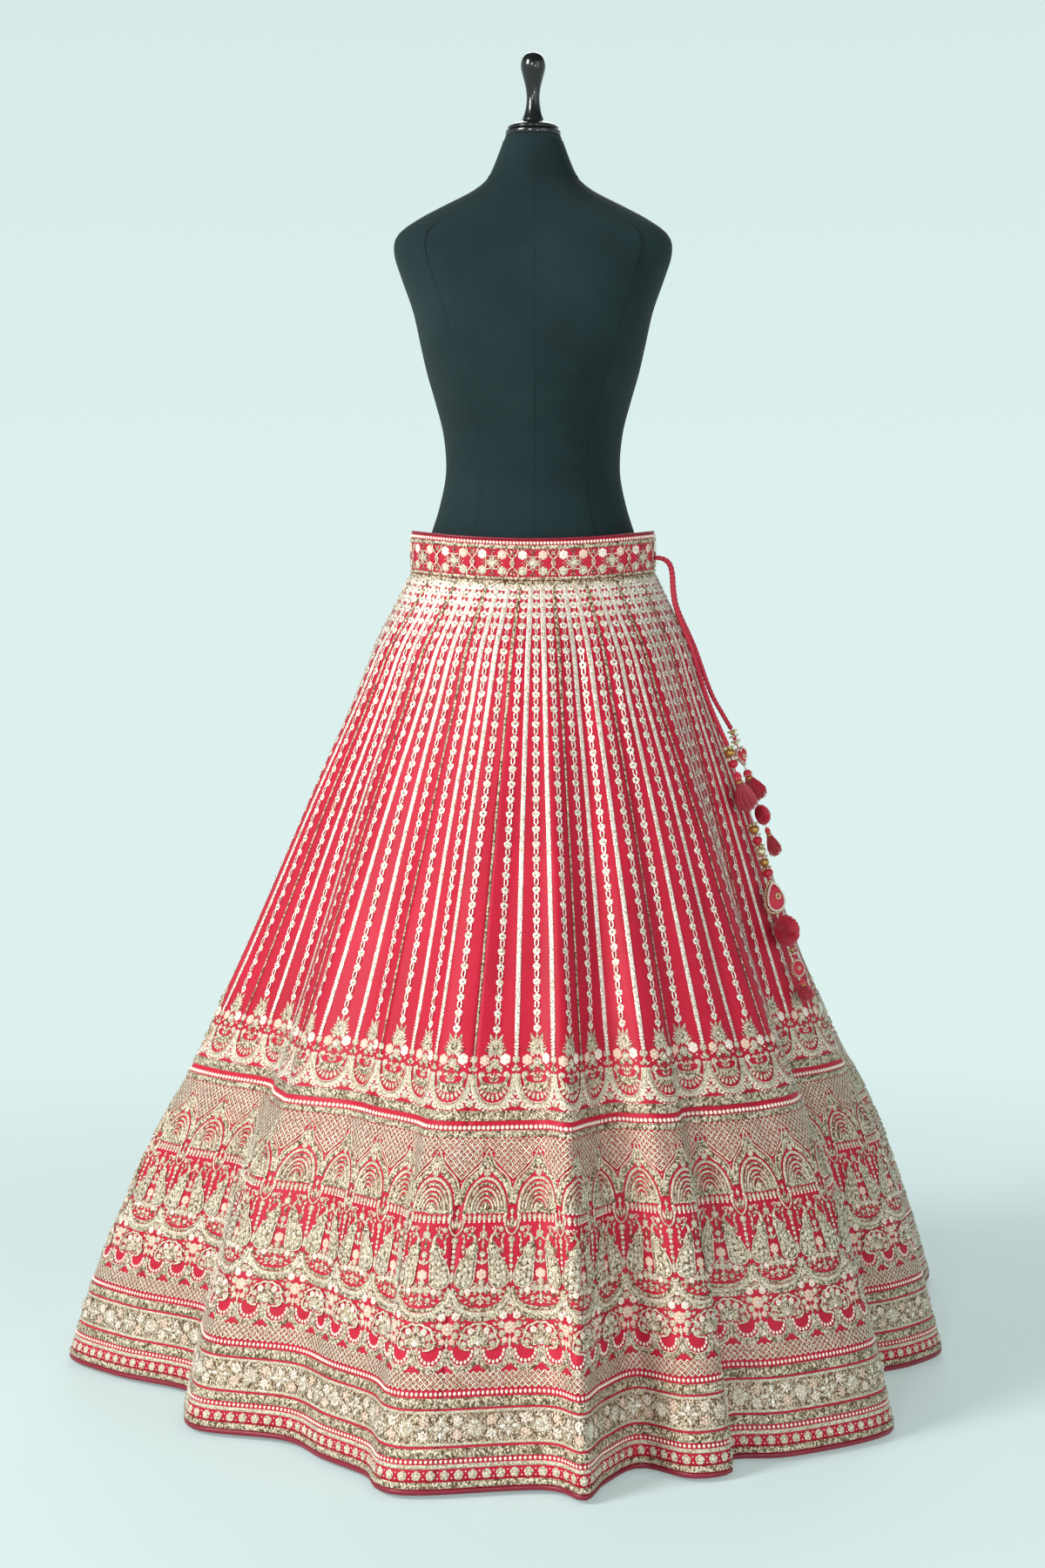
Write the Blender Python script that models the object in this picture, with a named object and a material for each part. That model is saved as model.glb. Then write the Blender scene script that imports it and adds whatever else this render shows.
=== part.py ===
"""A bridal lehenga skirt of twenty flared kalis on a limbless dress form.

Metres, +Z up. The floor is z = 0 under the middle of the stand's base. The front of
the skirt faces -Y and its right side, as seen from the front, is +X.
"""
import math

import bmesh
import bpy
import numpy as np
from mathutils import Vector

# ---- driving sizes, in metres ---------------------------------------------------
PANELS = 20                 # kalis sewn side by side all round
PANEL_COLUMNS = 9           # faces across one kali
WALL = 0.002                # embroidered raw silk with its facing
SEAM_GAP = 0.0003           # between two sewn pieces
HEM_HEIGHT = 0.0113         # lower edge of the kalis above the floor
HEM_CLEARANCE = 0.005       # hem piping above the floor
TOP_HEIGHT = 0.972          # top of the kalis at the front, where the band is sewn
TOP_RISE_AT_SIDES = 0.010   # the waist dips at the front and back
WAIST_HALF_WIDTH = 0.149
WAIST_HALF_DEPTH = 0.098
WAIST_FIRST_SEAM = 0.024    # along the waist, from the front middle to the first seam
BAND_HEIGHT = 0.048
BAND_WALL = 0.003
PIPING = 0.003              # thickness of the piped edges
PIPING_COLUMNS = 6          # faces of hem piping under one kali
FOLD_FADE = 1.7             # how fast the flutes flatten towards the waist
FOLD_SPREAD = 0.030         # share of the hem over which the soft line is averaged

# Rows of faces up a kali, as shares of its height.
PANEL_ROWS = (0.0, 0.12, 0.27, 0.45, 0.64, 0.82, 0.93, 1.0)

# The hem's line on the floor: each crest, trough and shoulder of its flutes.
# bearing in degrees from the front, turning towards +X; reach from the form's axis.
HEM_LINE = (
    # bearing, reach
    (-12, 0.592), (1, 0.560), (5, 0.600), (8, 0.545), (13.5, 0.494), (18, 0.545),
    (23, 0.545), (26, 0.500), (33, 0.522), (46, 0.536), (53, 0.515), (63, 0.420),
    (72, 0.395), (83, 0.470), (92, 0.514), (101, 0.475), (111, 0.435), (120, 0.570),
    (128, 0.700), (135, 0.630), (144, 0.490), (152, 0.560), (160, 0.620), (171, 0.500),
    (182, 0.630), (194, 0.500), (207, 0.640), (219, 0.490), (235, 0.660), (244, 0.590),
    (255, 0.445), (263, 0.520), (271, 0.578), (281, 0.520), (293, 0.447), (303, 0.485),
    (311, 0.510), (323, 0.470), (332, 0.503), (340, 0.540), (343.5, 0.585),
)
FIRST_SEAM_BEARING = 7.5

# How far the skirt has flared from the waist's size to the hem's, by height.
FLARE = (
    # height share, flare
    (0.000, 1.000), (0.128, 0.916), (0.266, 0.803), (0.378, 0.674), (0.516, 0.532),
    (0.711, 0.342), (0.850, 0.196), (0.911, 0.134), (0.961, 0.058), (1.000, 0.000),
)

# The dress form, from its flat underside to the top of its neck.
FORM_SECTIONS = (
    # height, half width, front depth, back depth, squareness
    (0.760, 0.128, 0.078, 0.088, 2.2),
    (0.768, 0.142, 0.090, 0.100, 2.2),
    (0.800, 0.158, 0.100, 0.116, 2.2),
    (0.850, 0.168, 0.104, 0.126, 2.2),
    (0.900, 0.168, 0.103, 0.124, 2.2),
    (0.940, 0.1560, 0.0972, 0.1000, 2.0),
    (0.972, 0.1450, 0.0951, 0.0951, 2.0),
    (1.000, 0.1345, 0.0905, 0.0905, 2.0),
    (1.032, 0.1235, 0.0880, 0.0860, 2.0),
    (1.064, 0.1135, 0.0850, 0.0800, 2.0),
    (1.105, 0.1060, 0.0830, 0.0760, 2.0),
    (1.150, 0.1090, 0.0910, 0.0790, 2.0),
    (1.190, 0.1190, 0.1090, 0.0850, 2.1),
    (1.225, 0.1290, 0.1230, 0.0910, 2.2),
    (1.260, 0.1370, 0.1190, 0.0960, 2.2),
    (1.300, 0.1460, 0.1040, 0.1000, 2.3),
    (1.340, 0.1600, 0.0900, 0.1010, 2.3),
    (1.370, 0.1690, 0.0790, 0.0960, 2.3),
    (1.392, 0.1650, 0.0690, 0.0880, 2.3),
    (1.410, 0.1420, 0.0610, 0.0780, 2.2),
    (1.428, 0.1080, 0.0550, 0.0680, 2.1),
    (1.444, 0.0760, 0.0510, 0.0590, 2.0),
    (1.458, 0.0570, 0.0480, 0.0530, 2.0),
    (1.474, 0.0480, 0.0440, 0.0480, 2.0),
    (1.494, 0.0400, 0.0390, 0.0410, 2.0),
    (1.512, 0.0335, 0.0335, 0.0335, 2.0),
)
FORM_SIDES = 40

# Turned pieces: radius and height of each point of the profile, bottom to top.
CAP_PROFILE = (
    # radius, height
    (0.0, 1.5123), (0.0325, 1.5123), (0.0335, 1.5135), (0.0335, 1.5175), (0.0325, 1.5187),
    (0.0, 1.5187),
)
FINIAL_PROFILE = (
    (0.0, 1.5190), (0.0290, 1.5190), (0.0308, 1.5205), (0.0308, 1.5230), (0.0270, 1.5255),
    (0.0150, 1.5290), (0.0130, 1.5325), (0.0100, 1.5415), (0.0082, 1.5520), (0.0080, 1.5610),
    (0.0095, 1.5720), (0.0128, 1.5845), (0.0150, 1.5945), (0.0140, 1.6035), (0.0098, 1.6095),
    (0.0040, 1.6125), (0.0, 1.6130),
)
COLLAR_PROFILE = (
    (0.0205, 0.7330), (0.0300, 0.7330), (0.0420, 0.7480), (0.0600, 0.7560), (0.0600, 0.7597),
    (0.0205, 0.7597),
)
POLE_PROFILE = (
    (0.0, 0.0273), (0.0170, 0.0273), (0.0170, 0.4400), (0.0200, 0.4400), (0.0200, 0.4600),
    (0.0140, 0.4600), (0.0140, 0.7597), (0.0, 0.7597),
)
BASE_PROFILE = (
    (0.0, 0.0), (0.1970, 0.0), (0.2000, 0.0030), (0.2000, 0.0090), (0.1940, 0.0130),
    (0.1300, 0.0180), (0.0500, 0.0210), (0.0320, 0.0270), (0.0, 0.0270),
)

# The dori: two cords of the skirt's own silk that leave the band's right side, drop to
# the cloth and lie down it. Each ends in a strand of beads, pendants, tassels and pompoms.
CORD_DIAMETER = 0.006
CORD_SPACING = 0.012        # between the points of a cord
CORD_ROUTES = {
    "dori_upper": (
        (0.1499, -0.0060, 1.0000), (0.1552, -0.0060, 0.9998), (0.1605, -0.0060, 0.9985),
        (0.1655, -0.0060, 0.9955), (0.1690, -0.0060, 0.9905), (0.1710, -0.0060, 0.9840),
        (0.1720, -0.0060, 0.9760), (0.1727, -0.0062, 0.9660), (0.1738, -0.0065, 0.9550),
        (0.1762, -0.0070, 0.9420), (0.1815, -0.0075, 0.9280), (0.1900, -0.0080, 0.9100),
        (0.1988, -0.0085, 0.8900), (0.2060, -0.0090, 0.8700), (0.2130, -0.0095, 0.8500),
        (0.2210, -0.0105, 0.8300), (0.2310, -0.0118, 0.8120), (0.2440, -0.0130, 0.7900),
    ),
    "dori_lower": (
        (0.1493, -0.0135, 1.0000), (0.1545, -0.0138, 0.9998), (0.1595, -0.0142, 0.9985),
        (0.1640, -0.0147, 0.9955), (0.1675, -0.0153, 0.9905), (0.1694, -0.0160, 0.9840),
        (0.1702, -0.0168, 0.9760), (0.1706, -0.0180, 0.9660), (0.1714, -0.0195, 0.9550),
        (0.1738, -0.0212, 0.9420), (0.1785, -0.0235, 0.9280), (0.1858, -0.0265, 0.9100),
        (0.1937, -0.0295, 0.8900), (0.1998, -0.0325, 0.8700), (0.2056, -0.0360, 0.8500),
        (0.2120, -0.0400, 0.8300), (0.2198, -0.0445, 0.8100), (0.2290, -0.0490, 0.7890),
        (0.2370, -0.0520, 0.7716),
    ),
}

# Each strand hangs in a line from its cord's end, and is turned to face out of the cloth.
STRANDS = {
    # cord: end of the strand, way it faces
    "dori_upper": ((0.3030, -0.0110, 0.6255), (0.92, -0.22, 0.33)),
    "dori_lower": ((0.3420, -0.0650, 0.4397), (0.79, -0.54, 0.28)),
}
STRAND_PRESS = 0.62         # depth against the cloth, as a share of the width
THREAD = 0.0012             # radius of the thread that joins the pieces
TASSEL_HEAD = 0.30          # share of a tassel that is its bound head

# The pieces on the strands, in millimetres down from the cord's end. A thread reaches up
# from each piece's top to what it hangs from, and tail is the thread below its beads.
STRAND_PIECES = (
    # name, cord, kind, hangs from, top, bottom, tail, half width, how many round or along
    ("beads_upper", "dori_upper", "beads", 0.0, 2.0, 22.0, 4.8, 7.0, 3),
    ("pendant_heart", "dori_upper", "heart", 24.0, 24.0, 50.0, 0.0, 14.0, 16),
    ("tassel_upper", "dori_upper", "tassel", 50.0, 53.0, 96.0, 0.0, 21.0, 10),
    ("pompom_upper", "dori_upper", "pompom", 66.0, 99.0, 127.0, 0.0, 14.0, 6),
    ("tassel_tip_upper", "dori_upper", "tassel", 127.0, 129.0, 168.0, 0.0, 13.0, 7),
    ("ball_lower", "dori_lower", "beads", 0.0, 2.0, 30.0, 0.0, 9.0, 2),
    ("tassel_middle", "dori_lower", "tassel", 30.0, 33.0, 86.0, 0.0, 17.0, 10),
    ("beads_lower", "dori_lower", "beads", 49.0, 100.0, 170.0, 1.7, 8.0, 5),
    ("pendant_paisley", "dori_lower", "paisley", 172.0, 172.0, 214.0, 0.0, 19.0, 16),
    ("pompom_lower", "dori_lower", "pompom", 213.2, 216.0, 258.0, 0.0, 21.0, 8),
    ("beads_end", "dori_lower", "beads", 258.0, 259.0, 272.0, 0.7, 6.0, 2),
    ("pendant_round", "dori_lower", "disc", 273.0, 273.0, 297.0, 0.0, 11.0, 14),
    ("tassel_tip_lower", "dori_lower", "tassel", 297.0, 299.0, 328.0, 0.0, 13.0, 7),
)


# ---- materials ------------------------------------------------------------------
COLOURS = {
    # name: colour, roughness, metallic
    "red silk": ((0.55, 0.012, 0.035), 0.55, 0.0),
    "gold band": ((0.62, 0.50, 0.30), 0.40, 0.6),
    "dark red piping": ((0.22, 0.004, 0.016), 0.5, 0.0),
    "form jersey": ((0.012, 0.022, 0.025), 0.85, 0.0),
    "black gloss": ((0.01, 0.01, 0.011), 0.15, 0.0),
    "steel": ((0.55, 0.55, 0.56), 0.3, 1.0),
    "black base": ((0.02, 0.02, 0.022), 0.4, 0.3),
    "tassel yarn": ((0.45, 0.008, 0.03), 0.9, 0.0),
    "gold beads": ((0.70, 0.55, 0.28), 0.3, 0.8),
}


def material(name):
    colour, roughness, metallic = COLOURS[name]
    made = bpy.data.materials.get(name)
    if made is None:
        made = bpy.data.materials.new(name)
        made.use_nodes = True
        shader = made.node_tree.nodes["Principled BSDF"]
        shader.inputs["Base Color"].default_value = (*colour, 1.0)
        shader.inputs["Roughness"].default_value = roughness
        shader.inputs["Metallic"].default_value = metallic
    return made


def add_object(name, vertices, faces, finish, crease=40):
    """One named object from its points and faces, shaded smooth but at its creases."""
    mesh = bpy.data.meshes.new(name)
    mesh.from_pydata([tuple(float(c) for c in v) for v in vertices], [], faces)
    mesh.validate()
    mesh.shade_smooth()
    mesh.set_sharp_from_angle(angle=math.radians(crease))
    mesh.materials.append(material(finish))
    made = bpy.data.objects.new(name, mesh)
    bpy.context.collection.objects.link(made)
    return made


# ---- the skirt's surface --------------------------------------------------------
LINE_POINTS = 1200


def closed_curve(controls, steps=60):
    """A Catmull-Rom curve through a closed ring of plan points."""
    before, here = np.roll(controls, 1, axis=0), controls
    after, beyond = np.roll(controls, -1, axis=0), np.roll(controls, -2, axis=0)
    t = np.linspace(0.0, 1.0, steps, endpoint=False)[None, :, None]
    before, here, after, beyond = (a[:, None, :] for a in (before, here, after, beyond))
    points = 0.5 * (2 * here + (after - before) * t
                    + (2 * before - 5 * here + 4 * after - beyond) * t ** 2
                    + (3 * here - before - 3 * after + beyond) * t ** 3)
    return points.reshape(-1, 2)


def spaced_evenly(curve, start):
    """The same ring with points at equal steps along it, from index start."""
    ring = np.roll(curve, -start, axis=0)
    ring = np.vstack([ring, ring[:1]])
    along = np.concatenate([[0.0], np.cumsum(np.linalg.norm(np.diff(ring, axis=0), axis=1))])
    wanted = np.linspace(0.0, along[-1], LINE_POINTS, endpoint=False)
    return np.stack([np.interp(wanted, along, ring[:, axis]) for axis in (0, 1)], axis=1)


def hem_ring():
    bearings = np.radians([row[0] for row in HEM_LINE])
    reaches = np.array([row[1] for row in HEM_LINE])
    controls = np.stack([reaches * np.sin(bearings), -reaches * np.cos(bearings)], axis=1)
    curve = closed_curve(controls)
    bearing = np.degrees(np.arctan2(curve[:, 0], -curve[:, 1]))
    start = int(np.argmin(np.abs(bearing - FIRST_SEAM_BEARING)))
    return spaced_evenly(curve, start)


def soft_ring(ring):
    """The hem without its flutes: each point averaged over its stretch of hem."""
    waves = np.fft.fftfreq(LINE_POINTS, 1.0 / LINE_POINTS)
    keep = np.exp(-0.5 * (2 * math.pi * waves * FOLD_SPREAD) ** 2)
    return np.stack([np.fft.ifft(np.fft.fft(ring[:, axis]) * keep).real for axis in (0, 1)],
                    axis=1)


def waist_ring():
    turn = np.linspace(0.0, 2 * math.pi, 4 * LINE_POINTS, endpoint=False)
    curve = np.stack([WAIST_HALF_WIDTH * np.sin(turn), -WAIST_HALF_DEPTH * np.cos(turn)], axis=1)
    along = np.cumsum(np.linalg.norm(np.diff(curve, axis=0), axis=1))
    return spaced_evenly(curve, int(np.searchsorted(along, WAIST_FIRST_SEAM)))


HEM = hem_ring()
SOFT_HEM = soft_ring(HEM)
WAIST = waist_ring()


def read_ring(ring, around):
    """The ring's point at a share of the way round, which may be any number."""
    place = (np.asarray(around, dtype=float) % 1.0) * LINE_POINTS
    low = np.floor(place).astype(int) % LINE_POINTS
    part = (place - np.floor(place))[..., None]
    return ring[low] * (1 - part) + ring[(low + 1) % LINE_POINTS] * part


def top_height(around):
    waist = read_ring(WAIST, around)
    return TOP_HEIGHT + TOP_RISE_AT_SIDES * (waist[..., 0] / WAIST_HALF_WIDTH) ** 2


def skirt_point(around, up):
    """Outer face of the kalis: around is the share of the hem, up the share of height."""
    around, up = np.broadcast_arrays(np.asarray(around, float), np.asarray(up, float))
    flare = np.interp(up, [row[0] for row in FLARE], [row[1] for row in FLARE])[..., None]
    soft = read_ring(SOFT_HEM, around)
    flute = read_ring(HEM, around) - soft
    plan = read_ring(WAIST, around) * (1 - flare) + soft * flare + flute * flare ** FOLD_FADE
    height = HEM_HEIGHT + (top_height(around) - HEM_HEIGHT) * up
    return np.concatenate([plan, height[..., None]], axis=-1)


def skirt_normal(around, up, step=0.0006):
    """Unit normal of the outer face, pointing out."""
    across = skirt_point(np.asarray(around) + step, up) - skirt_point(np.asarray(around) - step, up)
    low = np.clip(np.asarray(up) - 0.01, 0.0, 1.0)
    high = np.clip(np.asarray(up) + 0.01, 0.0, 1.0)
    along = skirt_point(around, high) - skirt_point(around, low)
    normal = np.cross(across, along)
    return normal / np.linalg.norm(normal, axis=-1, keepdims=True)


def sheet_solid(name, outer, inner, finish, ring=False):
    """A wall between two grids of points: rows go up, columns turn towards +X."""
    rows, columns = outer.shape[:2]
    vertices = np.concatenate([outer.reshape(-1, 3), inner.reshape(-1, 3)])
    back = rows * columns
    faces = []
    spans = columns if ring else columns - 1
    for r in range(rows - 1):
        for c in range(spans):
            d = (c + 1) % columns
            a, b = r * columns + c, r * columns + d
            e, f = a + columns, b + columns
            faces.append((a, b, f, e))
            faces.append((back + a, back + e, back + f, back + b))
    for c in range(spans):
        d = (c + 1) % columns
        top, top_next = (rows - 1) * columns + c, (rows - 1) * columns + d
        faces.append((c, back + c, back + d, d))
        faces.append((top, top_next, back + top_next, back + top))
    if not ring:
        for r in range(rows - 1):
            a, e = r * columns, (r + 1) * columns
            b, f = a + columns - 1, e + columns - 1
            faces.append((a, e, back + e, back + a))
            faces.append((b, back + b, back + f, f))
    return add_object(name, vertices, faces, finish)


def add_kali(number):
    """One flared panel, cut narrow at the waist and wide at the hem."""
    up = np.array(PANEL_ROWS)[:, None]
    first, last = number / PANELS, (number + 1) / PANELS
    width = np.linalg.norm(skirt_point(first + 0.001, up) - skirt_point(first, up), axis=-1) / 0.001
    trim = SEAM_GAP / 2 / width
    share = np.linspace(0.0, 1.0, PANEL_COLUMNS + 1)[None, :]
    around = (first + trim) * (1 - share) + (last - trim) * share
    up = np.broadcast_to(up, around.shape)
    outer = skirt_point(around, up)
    inner = outer - skirt_normal(around, up) * WALL
    inner[0, :, 2] = outer[0, :, 2]
    inner[-1, :, 2] = outer[-1, :, 2]
    return sheet_solid(f"kali_{number + 1:02d}", outer, inner, "red silk")


# ---- band and pipings -----------------------------------------------------------
def waist_wall(around, low, high, thickness, proud):
    """Outer and inner points of an upright strip on the waist's line."""
    waist = read_ring(WAIST, around)
    scale = np.array([1 / WAIST_HALF_WIDTH ** 2, 1 / WAIST_HALF_DEPTH ** 2])
    out = waist * scale
    out = out / np.linalg.norm(out, axis=-1, keepdims=True)
    base = top_height(around)
    grids = []
    for shift in (proud, proud - thickness):
        plan = waist + out * shift
        grids.append(np.stack([np.concatenate([plan, (base + h)[:, None]], axis=-1)
                               for h in (low, high)]))
    return grids


def side_share(sign):
    """Share of the waist's line at its far right (+1) or far left (-1)."""
    return float(np.argmax(sign * WAIST[:, 0])) / LINE_POINTS


def add_bands():
    right, left = side_share(1), side_share(-1)
    length = np.linalg.norm(np.roll(WAIST, -1, axis=0) - WAIST, axis=1).sum()
    trim = SEAM_GAP / 2 / length
    for name, start, end in (("waistband_back", right, left), ("waistband_front", left, right + 1)):
        around = np.linspace(start + trim, end - trim, 33)
        outer, inner = waist_wall(around, SEAM_GAP, BAND_HEIGHT, BAND_WALL, 0.0005)
        sheet_solid(name, outer, inner, "gold band")


def add_pipings():
    around = np.arange(PANELS * PIPING_COLUMNS) / (PANELS * PIPING_COLUMNS)
    edge, out = skirt_point(around, 0.0), skirt_normal(around, 0.0)
    out[:, 2] = 0.0
    out /= np.linalg.norm(out, axis=-1, keepdims=True)
    grids = []
    for shift in (0.0005, 0.0005 - PIPING):
        low, high = edge + out * shift, edge + out * shift
        low[:, 2], high[:, 2] = HEM_CLEARANCE, HEM_HEIGHT - SEAM_GAP
        grids.append(np.stack([low, high]))
    sheet_solid("hem_piping", *grids, "dark red piping", ring=True)
    around = np.arange(48) / 48
    outer, inner = waist_wall(around, BAND_HEIGHT + SEAM_GAP, BAND_HEIGHT + SEAM_GAP + PIPING,
                              PIPING, 0.0005)
    sheet_solid("waist_piping", outer, inner, "dark red piping", ring=True)


# ---- dress form and stand -------------------------------------------------------
def add_form():
    """The padded body: stacked sections, wider at hips, bust and shoulders."""
    turn = np.linspace(0.0, 2 * math.pi, FORM_SIDES, endpoint=False)
    rings = []
    for height, half_width, front, back, squareness in FORM_SECTIONS:
        power = 2.0 / squareness
        x = half_width * np.sign(np.sin(turn)) * np.abs(np.sin(turn)) ** power
        y = -np.sign(np.cos(turn)) * np.abs(np.cos(turn)) ** power
        y = y * np.where(y < 0, front, back)
        rings.append(np.stack([x, y, np.full_like(x, height)], axis=-1))
    vertices = np.concatenate(rings)
    faces = [tuple(reversed(range(FORM_SIDES)))]
    for r in range(len(rings) - 1):
        for c in range(FORM_SIDES):
            d = (c + 1) % FORM_SIDES
            a, b = r * FORM_SIDES + c, r * FORM_SIDES + d
            faces.append((a, b, b + FORM_SIDES, a + FORM_SIDES))
    top = (len(rings) - 1) * FORM_SIDES
    faces.append(tuple(top + c for c in range(FORM_SIDES)))
    return add_object("form_body", vertices, faces, "form jersey", crease=60)


def turned(name, profile, sides, finish, closed=False, crease=35):
    """A solid turned about +Z from its profile, which runs bottom to top."""
    rows = [Vector((r, 0.0, z)) for r, z in profile]
    work = bmesh.new()
    points = [work.verts.new(p) for p in rows]
    edges = [work.edges.new(pair) for pair in zip(points, points[1:])]
    if closed:
        edges.append(work.edges.new((points[-1], points[0])))
    bmesh.ops.spin(work, geom=points + edges, cent=(0, 0, 0), axis=(0, 0, 1),
                   angle=2 * math.pi, steps=sides, use_merge=True)
    bmesh.ops.remove_doubles(work, verts=work.verts, dist=0.00001)
    bmesh.ops.recalc_face_normals(work, faces=work.faces)
    mesh = bpy.data.meshes.new(name)
    work.to_mesh(mesh)
    work.free()
    mesh.shade_smooth()
    mesh.set_sharp_from_angle(angle=math.radians(crease))
    mesh.materials.append(material(finish))
    made = bpy.data.objects.new(name, mesh)
    bpy.context.collection.objects.link(made)
    return made


def add_stand():
    turned("neck_cap", CAP_PROFILE, 24, "black gloss")
    turned("finial", FINIAL_PROFILE, 16, "black gloss")
    turned("stand_base", BASE_PROFILE, 36, "black base")
    turned("stand_pole", POLE_PROFILE, 16, "steel")
    turned("form_collar", COLLAR_PROFILE, 24, "black gloss", closed=True)


# ---- dori and what hangs on them ------------------------------------------------
def smooth_route(points, spacing):
    """Points at even steps along a Catmull-Rom curve through the route."""
    route = np.array(points)
    route = np.vstack([2 * route[0] - route[1], route, 2 * route[-1] - route[-2]])
    t = np.linspace(0.0, 1.0, 24, endpoint=False)[:, None]
    fine = []
    for before, here, after, beyond in zip(route, route[1:], route[2:], route[3:]):
        fine.append(0.5 * (2 * here + (after - before) * t
                           + (2 * before - 5 * here + 4 * after - beyond) * t ** 2
                           + (3 * here - before - 3 * after + beyond) * t ** 3))
    fine = np.vstack(fine + [route[-2:-1]])
    along = np.concatenate([[0.0], np.cumsum(np.linalg.norm(np.diff(fine, axis=0), axis=1))])
    wanted = np.linspace(0.0, along[-1], max(2, round(along[-1] / spacing)) + 1)
    return np.stack([np.interp(wanted, along, fine[:, axis]) for axis in range(3)], axis=1)


def add_cord(name):
    points = smooth_route(CORD_ROUTES[name], CORD_SPACING)
    curve = bpy.data.curves.new(name, "CURVE")
    curve.dimensions = "3D"
    curve.bevel_depth = CORD_DIAMETER / 2
    curve.bevel_resolution = 2
    curve.use_fill_caps = True
    spline = curve.splines.new("POLY")
    spline.points.add(len(points) - 1)
    for point, place in zip(spline.points, points):
        point.co = (*(float(c) for c in place), 1.0)
    curve.materials.append(material("red silk"))
    made = bpy.data.objects.new(name, curve)
    bpy.context.collection.objects.link(made)


def close_loops(rings, locks=()):
    """Vertices and faces of a body of rings, capped at both ends.

    The faces between a ring named in locks and the next one each grow a lock of yarn:
    locks maps the ring's number to a function that gives the tip of a face's lock.
    """
    sides = len(rings[0])
    vertices = [tuple(p) for ring in rings for p in ring]
    faces = [tuple(range(sides)), tuple((len(rings) - 1) * sides + c for c in reversed(range(sides)))]
    for r in range(len(rings) - 1):
        for c in range(sides):
            d = (c + 1) % sides
            face = (r * sides + c, (r + 1) * sides + c, (r + 1) * sides + d, r * sides + d)
            if r not in locks:
                faces.append(face)
                continue
            corners = np.array([vertices[i] for i in face])
            middle = corners.mean(axis=0)
            root = [len(vertices) + i for i in range(4)]
            vertices += [tuple(middle + (p - middle) * 0.8) for p in corners]
            tip = len(vertices)
            vertices.append(tuple(locks[r](middle)))
            for i in range(4):
                j = (i + 1) % 4
                faces.append((face[i], face[j], root[j], root[i]))
                faces.append((root[i], root[j], tip))
    return vertices, faces


def circle(radius, height, sides):
    turn = np.linspace(0.0, 2 * math.pi, sides, endpoint=False)
    return np.stack([radius * np.cos(turn), radius * np.sin(turn), np.full(sides, height)], axis=1)


def bead_shape(lead, length, half_width, count, tail):
    """A string of round beads: the profile narrows between them, and to a thread below."""
    rings = [circle(THREAD, lead, 8)]
    pitch = length / count
    for bead in range(count):
        radius = half_width * (1.0 - 0.12 * (bead % 2))
        for share, width in ((0.0, 0.3), (0.12, 0.72), (0.5, 1.0), (0.88, 0.72)):
            rings.append(circle(radius * width, -pitch * (bead + share), 8))
    rings.append(circle(half_width * 0.3, -length, 8))
    if tail:
        rings += [circle(THREAD, -length, 8), circle(THREAD, -length - tail, 8)]
    return close_loops(rings)


def tassel_shape(lead, length, half_width, count):
    """A bound head over two rounds of hanging locks."""
    head = -length * TASSEL_HEAD
    rings = [circle(THREAD, lead, count)]
    for share, width in ((0.0, 0.16), (0.3, 0.40), (0.7, 0.34), (0.85, 0.50), (1.0, 0.52)):
        rings.append(circle(half_width * width, head * share, count))
    first_lock = len(rings) - 1
    rings += [circle(half_width * width, head, count) for width in (0.34, 0.14)]

    def tip(spread, drop):
        return lambda middle: (middle[0] * spread, middle[1] * spread, -length * drop)

    return close_loops(rings, {first_lock: tip(2.2, 0.97), first_lock + 1: tip(1.9, 1.0)})


def pompom_shape(lead, length, half_width, count):
    """A small core whose locks of yarn stand out all round."""
    middle_height, core = -length / 2, half_width * 0.45
    rings = [circle(THREAD, lead, count), circle(THREAD, middle_height + core, count)]
    tilts = np.radians((20, 58, 96, 134, 165)) if count > 6 else np.radians((22, 68, 112, 158))
    for tilt in tilts:
        rings.append(circle(core * math.sin(tilt), middle_height + core * math.cos(tilt), count))
    rings += [circle(THREAD, middle_height - core, count), circle(THREAD, -length, count)]

    def tip(middle):
        out = np.array([middle[0], middle[1], middle[2] - middle_height])
        out *= half_width / np.linalg.norm(out)
        return (out[0], out[1], out[2] + middle_height)

    return close_loops(rings, {2 + r: tip for r in range(len(tilts) - 1)})


def outline(kind, count):
    """Plan of a padded pendant, one unit half wide, hung from its top at z = 0."""
    turn = np.linspace(0.0, 2 * math.pi, count, endpoint=False)
    if kind == "heart":
        x = np.sin(turn) ** 3
        z = (13 * np.cos(turn) - 5 * np.cos(2 * turn) - 2 * np.cos(3 * turn)
             - np.cos(4 * turn)) / 15.0
    elif kind == "paisley":
        x = np.sin(turn) * (1.0 - 0.35 * np.cos(turn)) + 0.25 * (1 + np.cos(turn)) ** 2 / 4
        z = np.cos(turn) * 1.05
    else:
        x, z = np.sin(turn), np.cos(turn)
    return x - x[0], z


def pendant_shape(kind, length, half_width, count):
    """A padded pendant: its outline, crowned on both faces."""
    x, z = outline(kind, count)
    x = x * half_width / np.abs(x).max()
    z = (z - z.max()) * length / (z.max() - z.min())
    thickness = half_width * 0.62
    middle = np.array([0.0, z.mean()])
    rings = []
    for depth, scale in ((0.5, 0.55), (0.36, 0.86), (0.0, 1.0), (-0.36, 0.86), (-0.5, 0.55)):
        rings.append(np.stack([middle[0] + (x - middle[0]) * scale, np.full(count, depth * thickness),
                               middle[1] + (z - middle[1]) * scale], axis=1))
    return close_loops(rings)


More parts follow.
